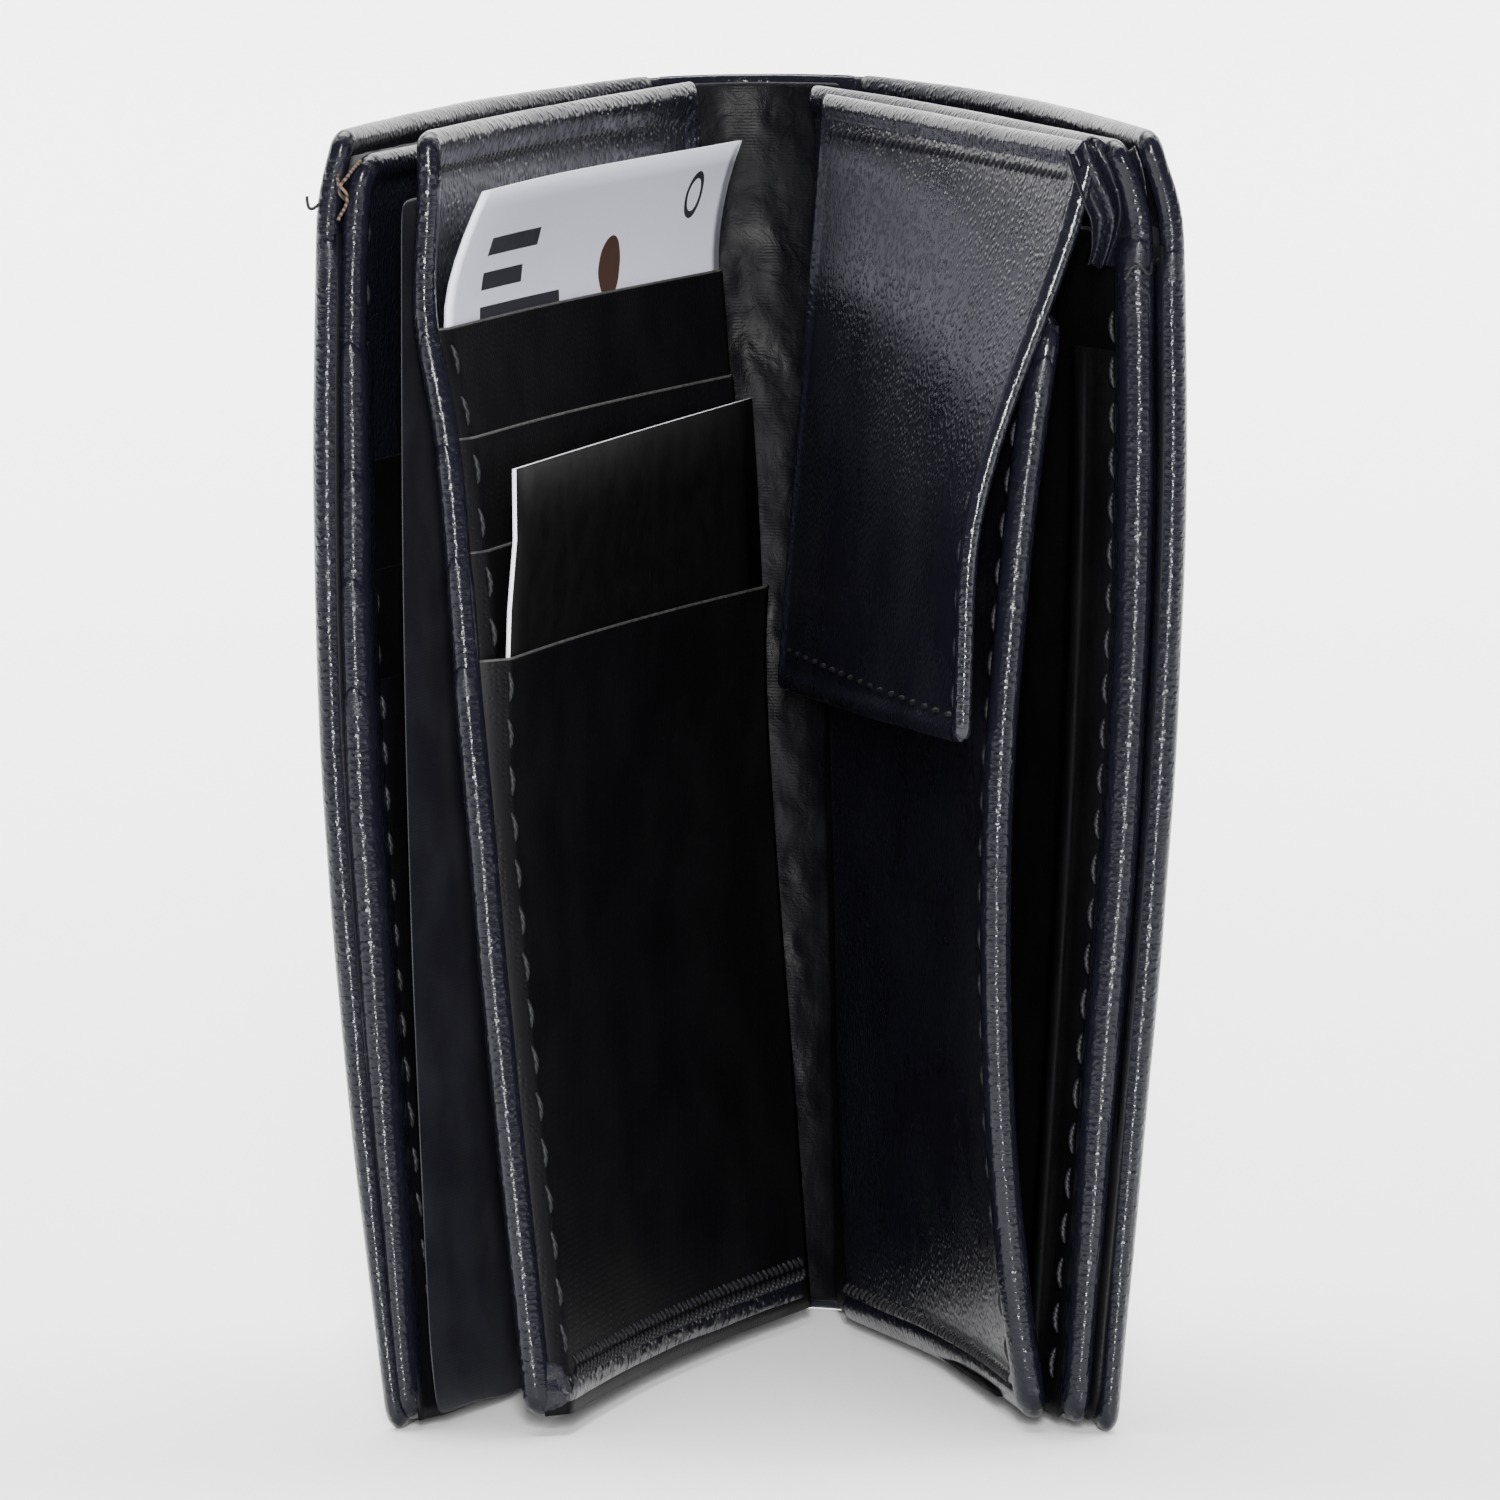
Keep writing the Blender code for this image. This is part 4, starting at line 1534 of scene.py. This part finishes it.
@dataclass
class Leaf:
    """The turning card leaf: a turned panel, four slots, their stepped edge, hems, the insert and the card."""

    axes: Axes
    outer: float = -0.8 * MM
    thickness: float = 2.45 * MM
    depths: tuple[float, ...] = (2.3 * MM, 2.6 * MM, 2.9 * MM, 4.6 * MM)
    insert_shift: float = 0.3 * MM
    settle: float = 1.4 * MM
    low: float = 0.8 * MM
    high: float = 124.4 * MM
    hem: float = 5.6 * MM
    card_tilt: float = 0.010
    card_thinning: float = 0.4

    def build(self, finishes: Finishes) -> None:
        """Makes the leaf's pieces.

        Args:
            finishes: the wallet's finishes.
        """
        back = Panel("leaf_panel", self.axes, leaf_shape, 0.0, LEAF_LENGTH, self.low, self.high, self.outer,
                     self.thickness, body=0.4, rims=ALL_ROUND, corner=2.2 * MM, seam=3.8 * MM)
        dress(back.build(), "leaf", "black_leather", finishes.pebbled, "leaf_back", "leaf_face")
        SlotRow("leaf", "leaf", "leaf_slot", self.axes, leaf_shape, LEAF_LENGTH, self.outer, self.thickness,
                LEAF_MOUTHS, self.depths, self.low, leather=0.26 * MM, dive=(2.6 * MM, 0.8 * MM),
                last_settle=self.settle, raw_lips=True).build(finishes)
        self.foot_hem(finishes)
        sew(
            "leaf",
            finishes,
            Seam("leaf_upper_stitches", back, fore_line(back, 106 * MM, 119 * MM), 13 * MM),
            Seam("leaf_head_rope_stitch", back, level_line(5 * MM, 84 * MM, self.high - 3.8 * MM), 79 * MM, 1.5 * MM,
                 1.9 * MM, 0.22 * MM, math.radians(38), sunk=0.3),
        )
        self.cards(finishes)

    def foot_hem(self, finishes: Finishes) -> None:
        """The hem at the foot, turned over all four slots and sewn with two rows of rope stitch.

        Args:
            finishes: the wallet's finishes.
        """

        def full(u: Array, z: Array) -> Array:
            """The hem is as deep as the stack inside it, and runs out at both ends.

            Args:
                u: coordinates along the half from its hinge.
                z: coordinates up the hinge.

            Returns:
                The extra thickness.
            """
            stack = 1.5 * MM * (1 - smooth(u, LEAF_LENGTH - 2.2 * MM, LEAF_LENGTH - 0.4 * MM))
            puff = 0.5 * MM * np.exp(-(((z - self.low - 1.9 * MM) / (1.5 * MM)) ** 2))
            return (stack + puff) * smooth(u, 0.0, 2.0 * MM)

        hem = Panel("leaf_foot_hem", self.axes, leaf_shape, 0.2 * MM, LEAF_LENGTH + 0.1 * MM, self.low - 0.2 * MM,
                    self.low + self.hem, self.outer - 0.1 * MM, self.thickness + 0.3 * MM, rims=TURNED_STRIP, seam=0.0,
                    body=0.95, corner=2.4 * MM, swell=full, step=1.6 * MM)
        dress(hem.build(), "leaf", "black_leather", finishes.pebbled)
        for number, rise in enumerate((3.5 * MM, 4.8 * MM)):
            line = level_line(2 * MM, 84 * MM, self.low + rise)
            sew("leaf", finishes, Seam(f"leaf_foot_rope_stitch_{number}", hem, line, 82 * MM, 1.5 * MM, 1.8 * MM,
                                       0.26 * MM, math.radians(40 - 80 * number), sunk=0.0))

    def cards(self, finishes: Finishes) -> None:
        """The printed insert in the first slot and the black card in the last.

        Args:
            finishes: the wallet's finishes.
        """

        def lean(u: Array, z: Array) -> Array:
            """The insert curls away from the leaf above the slot.

            Args:
                u: coordinates along the half from its hinge.
                z: coordinates up the hinge.

            Returns:
                The offset.
            """
            rise = np.clip((z - 105 * MM) / (14 * MM), 0, 1)
            wave = 0.35 * MM * np.sin(u / (13 * MM) + 0.6) * rise
            return leaf_shape(u, z) + self.insert_shift + 3.3 * MM * rise**2 + wave

        insert = follow("paper_insert", "printed_insert", self.axes, lean, pitch=2.2 * MM)
        u, _, z = self.axes.read(positions(insert))
        set_positions(insert, positions(insert) - self.axes.up * 0.8 * MM)
        layer = insert.data.uv_layers.new(name="print")
        for loop in insert.data.loops:
            layer.data[loop.index].uv = (u.max() - u[loop.vertex_index], z[loop.vertex_index] - z.min())
        dress(insert, "insert", "insert_paper", finishes.paper)

        def propped(u: Array, z: Array) -> Array:
            """The card stands proud of its slot at its top, more so towards the fore edge.

            Args:
                u: coordinates along the half from its hinge.
                z: coordinates up the hinge.

            Returns:
                The offset.
            """
            sink = self.settle * (1 - np.exp(-np.clip(73 * MM - z, 0, 1) / (8 * MM)))
            free = smooth(z, 72 * MM, 92 * MM)
            straight = 1.6 * MM * np.sin(math.pi * np.clip(u / LEAF_LENGTH, 0, 1)) * free
            return leaf_shape(u, z) + (0.3 + 1.9 * u / LEAF_LENGTH) * MM * free + straight - sink

        card = follow("black_card", "black_plastic_card", self.axes, propped)
        u, w, z = self.axes.read(positions(card))
        flat = w - propped(u, z)
        w -= self.card_thinning * (flat - flat.mean())
        set_positions(card, self.axes.place(u - 0.6 * MM, w, z - self.card_tilt * u))
        dress(card, "card", "card_black", finishes.card)
        card.data.materials.append(finishes.core)
        for face in card.data.polygons:
            if abs(float(np.array(face.normal) @ self.axes.inward)) < 0.5:
                face.material_index = 1


@dataclass
class RightPanel:
    """The panel behind the coin pocket, with the pocket turned over its fore edge, and the gussets."""

    axes: Axes
    outer: float = 2.85 * MM
    thickness: float = 2.6 * MM
    end: float = 92.3 * MM
    mouth: float = 115.0 * MM

    def build(self, finishes: Finishes) -> None:
        """Makes the panel's pieces.

        Args:
            finishes: the wallet's finishes.
        """
        base = Panel("right_panel_back", self.axes, right_inner_shape, 3 * MM, self.end, 0.8 * MM, 124 * MM,
                     self.outer, self.thickness, body=0.5, corner=2.4 * MM, foot_pinch=0.2)
        dress(base.build(), "right_cover", "black_leather", finishes.leather, "right_panel_base")
        turned = Panel("right_panel_turned_edge", self.axes, right_inner_shape, self.end - 4.2 * MM,
                       self.end + 0.15 * MM, 0.8 * MM, self.mouth, self.outer - 0.08 * MM, self.thickness + 0.8 * MM,
                       rims=TURNED_STRIP, seam=0.0, body=0.9, foot_pinch=0.2)
        dress(turned.build(), "right_cover", "black_leather", finishes.leather)
        pocket = Panel("right_pocket_face", self.axes, right_inner_shape, 4 * MM, self.end - 2 * MM, 0.8 * MM,
                       self.mouth, self.outer + 2.0 * MM, 0.6 * MM, rims=CUT_ALL_ROUND, seam=0.0, body=1.0)
        dress(pocket.build(), "right_cover", "black_leather", finishes.skiver, "right_panel_pocket")
        guide = Panel("pocket_guide", self.axes, right_inner_shape, 4 * MM, self.end, 0.8 * MM, self.mouth,
                      self.outer, self.thickness + 0.85 * MM, body=0.9, seam=5.0 * MM)
        line = fore_line(guide, 4 * MM, 108 * MM)
        sew("right_cover", finishes, Seam("right_panel_stitches", guide, line, 104 * MM))
        # The gussets take the nylon that is painted near black as painted shade.
        for node, name in (("coin_pocket_fore_gusset", "fore_gusset"), ("coin_pocket_bottom_gusset", "bottom_gusset")):
            obj = follow(node, name, self.axes, lambda u, z: right_inner_shape(u, z) * 0.6)
            dress(obj, "right_cover", "black_nylon", finishes.gusset)


@dataclass
class CoinFront:
    """The coin pocket's front: a turned panel, the step of its open strip, lining, stitching and stud."""

    axes: Axes
    outer: float = -0.5 * MM
    thickness: float = 2.7 * MM
    strip_mouth: float = 103.5 * MM

    def build(self, finishes: Finishes) -> None:
        """Makes the front's pieces.

        Args:
            finishes: the wallet's finishes.
        """
        front = Panel("coin_front_panel", self.axes, coin_shape, 0.0, COIN_LENGTH, 0.8 * MM, COIN_MOUTH, self.outer,
                      self.thickness, body=0.5)
        dress(front.build(), "coin_front", "black_leather", finishes.polished, "coin_pocket_front")
        turned = Panel("coin_front_turned_edge", self.axes, coin_shape, COIN_LENGTH - 3.0 * MM,
                       COIN_LENGTH + 0.15 * MM, 0.8 * MM, self.strip_mouth, self.outer - 0.08 * MM,
                       self.thickness + 0.4 * MM, rims=TURNED_STRIP, seam=0.0, body=0.82)
        dress(turned.build(), "coin_front", "black_leather", finishes.leather)
        strip = Panel("coin_strip_face", self.axes, coin_shape, 0.3 * MM, COIN_LENGTH - 1.6 * MM, 1.8 * MM,
                      self.strip_mouth, 1.3 * MM, 0.45 * MM, rims=CUT_ALL_ROUND, seam=0.0, body=1.0)
        dress(strip.build(), "coin_front", "black_leather", finishes.polished, "coin_pocket_front_strip")
        lining = follow("coin_pocket_lining", "coin_lining", self.axes, coin_shape)
        dress(lining, "coin_front", "black_lining", finishes.lining)
        stud = follow("snap_stud", "press_stud", self.axes, lambda u, z: coin_shape(u, z) + 0.25 * MM, rigid=True)
        dress(stud, "coin_front", "snap_metal", finishes.nickel)
        guide = Panel("coin_guide", self.axes, coin_shape, 0.0, COIN_LENGTH, 0.8 * MM, COIN_MOUTH, self.outer,
                      3.2 * MM, body=0.82, seam=3.8 * MM)
        sew(
            "coin_front",
            finishes,
            Seam("coin_front_stitches", guide, fore_line(guide, 5 * MM, 102 * MM), 97 * MM),
            Seam("coin_foot_rope_stitch", guide, level_line(3 * MM, 74 * MM, 4.4 * MM), 71 * MM, 1.5 * MM, 1.75 * MM,
                 0.22 * MM, math.radians(38), sunk=0.1),
        )


@dataclass
class Flap:
    """The flap over the coin pocket, which rolls off the panel's head and hangs over the mouth."""

    axes: Axes
    start: float = 12.0 * MM
    end: float = 90.5 * MM
    low: float = 66.0 * MM
    high: float = 123.6 * MM
    thickness: float = 1.9 * MM

    def shape(self, u: Array, z: Array) -> Array:
        """Depth of the flap's outer face.

        Args:
            u: coordinates along the half from its hinge.
            z: coordinates up the hinge.

        Returns:
            The depth.
        """
        f = np.clip((u - self.start) / (self.end - self.start), 0, 1)
        drop = np.clip((self.high - z) / (self.high - self.low), 0, 1)
        edge = 9.0 * MM + 11.2 * MM * smooth(self.high - z, -4 * MM, 42 * MM)
        spine = (13.4 + 2.6 * drop) * MM
        return spine * (1 - f) + edge * f - self.thickness + 0.8 * MM * np.sin(math.pi * f) * drop

    def build(self, finishes: Finishes) -> None:
        """Makes the flap's pieces.

        Args:
            finishes: the wallet's finishes.
        """
        leather = Panel("coin_flap_leather", self.axes, self.shape, self.start, self.end, self.low, self.high, 0.0,
                        self.thickness, rims=ALL_ROUND, body=0.62, corner=1.6 * MM, seam=2.4 * MM, foot_drop=1.8 * MM)
        dress(leather.build(), "coin_flap", "black_leather", finishes.polished, "flap_leather")
        lining = Panel("coin_flap_lining", self.axes, self.shape, self.start + 2.5 * MM, self.end - 2.5 * MM,
                       self.low + 2.5 * MM, self.high - 4 * MM, 0.1 * MM, 0.3 * MM, rims=CUT_ALL_ROUND, seam=0.0,
                       body=1.0)
        dress(lining.build(), "coin_flap", "black_lining", finishes.lining, "flap_lining")
        socket = follow("snap_socket", "press_socket", self.axes, lambda u, z: 0 * u, rigid=True)
        dress(socket, "coin_flap", "snap_metal", finishes.nickel)
        sew(
            "coin_flap",
            finishes,
            Seam("coin_flap_fore_stitches", leather, fore_line(leather, 68 * MM, 119 * MM), 51 * MM),
            Seam("coin_flap_foot_stitches", leather, level_line(14 * MM, 88 * MM, self.low + 2.4 * MM), 74 * MM),
            Seam("coin_flap_head_rope_stitch", leather, level_line(14 * MM, 86 * MM, self.high - 3.6 * MM), 72 * MM,
                 1.5 * MM, 1.75 * MM, 0.2 * MM, math.radians(38)),
        )


@dataclass
class LooseEnds:
    """Thread ends that were left where seams stop, and the leather gathered into the right panel's top corner."""

    left: Axes
    right: Axes
    radius: float = 0.17 * MM

    def build(self, finishes: Finishes) -> None:
        """Makes the thread ends and the gathered corner.

        Args:
            finishes: the wallet's finishes.
        """
        ends = (
            ("left_tan_thread_end", "left_cover", self.left, finishes.tan_thread,
             ((91.5, 1.6, 121.5), (93.2, 2.2, 120.0), (93.0, 3.4, 118.6), (93.6, 2.9, 116.4))),
            ("left_tan_glue_thread", "left_cover", self.left, finishes.tan_thread,
             ((91.8, 3.6, 122.0), (93.4, 3.1, 120.6), (93.1, 2.5, 119.2), (92.4, 3.2, 118.2))),
            ("left_black_thread_end", "left_cover", self.left, finishes.thread,
             ((92.6, 0.6, 118.0), (93.3, -0.1, 117.6), (93.5, -0.4, 118.2), (93.4, -0.6, 118.8))),
            ("right_black_thread_end", "right_cover", self.right, finishes.thread,
             ((91.6, 3.4, 112.6), (93.2, 4.2, 111.4), (93.4, 5.4, 112.2), (92.8, 6.4, 110.8))),
        )
        for name, body, axes, material, points in ends:
            shape = left_shape if body == "left_cover" else right_shape
            self.thread(name, body, axes, shape, material, points)
        self.gathered_corner(finishes)

    def thread(self, name: str, body: str, axes: Axes, shape: Shape, material: bpy.types.Material,
               points: Sequence[tuple[float, float, float]]) -> None:
        """One short curled end, through points given along, inwards and up in millimetres.

        Args:
            name: its name.
            body: the body that the piece rides on.
            axes: the axes of its half.
            shape: the inward offset.
            material: its finish.
            points: the knots in millimetres.
        """
        bpy.ops.curve.primitive_bezier_curve_add(radius=1.0, location=(0, 0, 0))
        obj = bpy.context.object
        obj.name = name
        obj.data.bevel_depth, obj.data.bevel_resolution, obj.data.resolution_u = self.radius, 2, 8
        obj.data.use_fill_caps = True
        spline = obj.data.splines[0]
        spline.bezier_points.add(len(points) - len(spline.bezier_points))
        for knot, (u, w, z) in zip(spline.bezier_points, np.array(points) * MM):
            knot.co = axes.place(u, w + shape(u, z), z).tolist()
            knot.handle_left_type = knot.handle_right_type = "AUTO"
        select_only(obj)
        bpy.ops.object.convert(target="MESH")
        dress(bpy.context.object, body, "black_leather", material)

    def gathered_corner(self, finishes: Finishes) -> None:
        """A strip of leather pushed into three folds between the cover and the flap.

        Args:
            finishes: the wallet's finishes.
        """

        def place(across: Array, up: Array, side: Array) -> Array:
            """The sheet's points.

            Args:
                across: share across, from 0 to 1.
                up: share up, from 0 to 1.
                side: 0 on the outside, 1 on the inside.

            Returns:
                World points.
            """
            z = (111.5 + 12.0 * up - 0.8 * np.sin(across * 9) * up) * MM
            w = (2.9 + 6.4 * across + 0.5 * np.sin(up * 5 + across * 4)) * MM
            fold = np.sin(across * 3.1 * math.tau + 1.2 * up) * (0.9 - 0.5 * up)
            u = (89.9 + fold + 0.6 * np.sin(up * math.pi) - 2.6 * (1 - up) ** 3) * MM
            crumple = 0.3 * MM * uneven(np.stack([u, w, z], axis=-1), 2.2 * MM, 4.0)
            return self.right.place(u + crumple - side * 0.7 * MM, w + right_shape(u, z), z + crumple)

        obj = shell("right_gathered_corner", 34, 26, place)
        dress(obj, "right_cover", "black_leather", finishes.leather)


@dataclass
class Studio:
    """A plain pale floor, soft lights and the camera."""

    camera_distance: float = 1.74
    camera_height: float = 0.232
    focal: float = 427.5
    pitch: float = math.radians(5.605)
    floor_size: float = 16.0
    sweep_at: float = 5.6
    sweep_height: float = 4.0

    def build(self) -> None:
        """Places the floor, the lights and the camera."""
        self.floor()
        self.light("overhead", (-0.12, 0.1, 1.3), (0.0, 0.02, 0.06), 1.1, 0.9, 25.0)
        self.light("front_strip", (0.03, -2.6, 0.62), (0.0, 0.0, 0.06), 0.24, 0.9, 185.0)
        self.light("backdrop_wash", (0.0, 2.0, 3.0), (0.0, 4.4, 0.2), 5.0, 4.0, 800.0)
        world = bpy.data.worlds.new("dim_studio")
        world.use_nodes = True
        world.node_tree.nodes["Background"].inputs["Color"].default_value = linear("#ffffff")
        world.node_tree.nodes["Background"].inputs["Strength"].default_value = 0.16
        bpy.context.scene.world = world
        camera = bpy.data.cameras.new("product_camera")
        camera.lens, camera.sensor_width = self.focal, 36.0
        holder = bpy.data.objects.new("product_camera", camera)
        holder.location = (0.0, -self.camera_distance, self.camera_height)
        holder.rotation_euler = (math.pi / 2 - self.pitch, 0.0, 0.0)
        camera.clip_start, camera.clip_end = 0.05, 50.0
        bpy.context.scene.collection.objects.link(holder)
        bpy.context.scene.camera = holder

    def floor(self) -> None:
        """A pale paper sweep: a wide floor that curves up into a wall behind the wallet.

        In reflections its front part is painted dark, as if a black card lay there, so the rolled edges keep their
        glint.
        """
        bpy.ops.mesh.primitive_plane_add(size=self.floor_size, location=(0, self.sweep_at - self.floor_size / 2, 0))
        plane = bpy.context.object
        plane.name = "studio_sweep"
        bpy.ops.object.mode_set(mode="EDIT")
        bpy.ops.mesh.select_all(action="DESELECT")
        bpy.ops.object.mode_set(mode="OBJECT")
        for edge in plane.data.edges:
            edge.select = all(plane.data.vertices[v].co.y > 0 for v in edge.vertices)
        bpy.ops.object.mode_set(mode="EDIT")
        bpy.ops.mesh.select_mode(type="EDGE")
        bpy.ops.mesh.extrude_region_move(TRANSFORM_OT_translate={"value": (0.0, 0.0, self.sweep_height)})
        bpy.ops.object.mode_set(mode="OBJECT")
        curve = plane.modifiers.new("cove", "BEVEL")
        curve.width, curve.segments, curve.limit_method = 1.2, 12, "ANGLE"
        apply_modifiers(plane)
        shade_smooth(plane)
        t = Tree("white_paper_floor")
        reflected = t.add("LightPath").outputs["Is Glossy Ray"]
        along = t.add("SeparateXYZ", Vector=t.place).outputs[1]
        middle = self.floor_size / 2 - self.sweep_at
        # Painted shade in reflections: glossy rays see the floor's front part dark grey, which darkens what the rolled
        # edges reflect.
        dark_reflection_mask = t.math("MULTIPLY", reflected, t.ramp(along, middle - 1.0, middle - 0.2, 1.0, 0.0))
        t.set(Base_Color=t.mix(dark_reflection_mask, linear("#f6f6f6"), linear("#1c1c1e")), Roughness=0.9, Specular_IOR_Level=0.1)
        plane.data.materials.append(t.material)

    @staticmethod
    def light(name: str, place: tuple, target: tuple, width: float, height: float, power: float) -> None:
        """One soft rectangular light aimed at a point.

        Args:
            name: its name.
            place: where it stands.
            target: the point that it is aimed at.
            width: its width.
            height: its height.
            power: its power in watts.
        """
        data = bpy.data.lights.new(name, "AREA")
        data.shape, data.size, data.size_y, data.energy = "RECTANGLE", width, height, power
        lamp = bpy.data.objects.new(name, data)
        lamp.location = place
        lamp.rotation_euler = (Vector(target) - Vector(place)).to_track_quat("-Z", "Y").to_euler()
        bpy.context.scene.collection.objects.link(lamp)


def main() -> None:
    """Builds the looks of the wallet and its studio."""
    logging.basicConfig(level=logging.INFO, format="%(message)s")
    finishes = Finishes()
    left = Axes.of("left_fold", "left_cover_leather", -1)
    right = Axes.of("right_fold", "right_cover_leather", 1)
    Spine(left, right).build(finishes)
    Cover("left", left, left_shape).build(finishes)
    Cover("right", right, right_shape, slip_mouth=114.0 * MM).build(finishes)
    LeftPanel(left).build(finishes)
    Divider(Axes.of("divider_hinge", "nylon_divider", -1)).build(finishes)
    Leaf(Axes.of("leaf_hinge", "leaf_back", -1)).build(finishes)
    RightPanel(right).build(finishes)
    CoinFront(Axes.of("coin_front_hinge", "coin_pocket_front", 1)).build(finishes)
    Flap(right).build(finishes)
    LooseEnds(left, right).build(finishes)
    Studio().build()


if __name__ == "__main__":
    main()
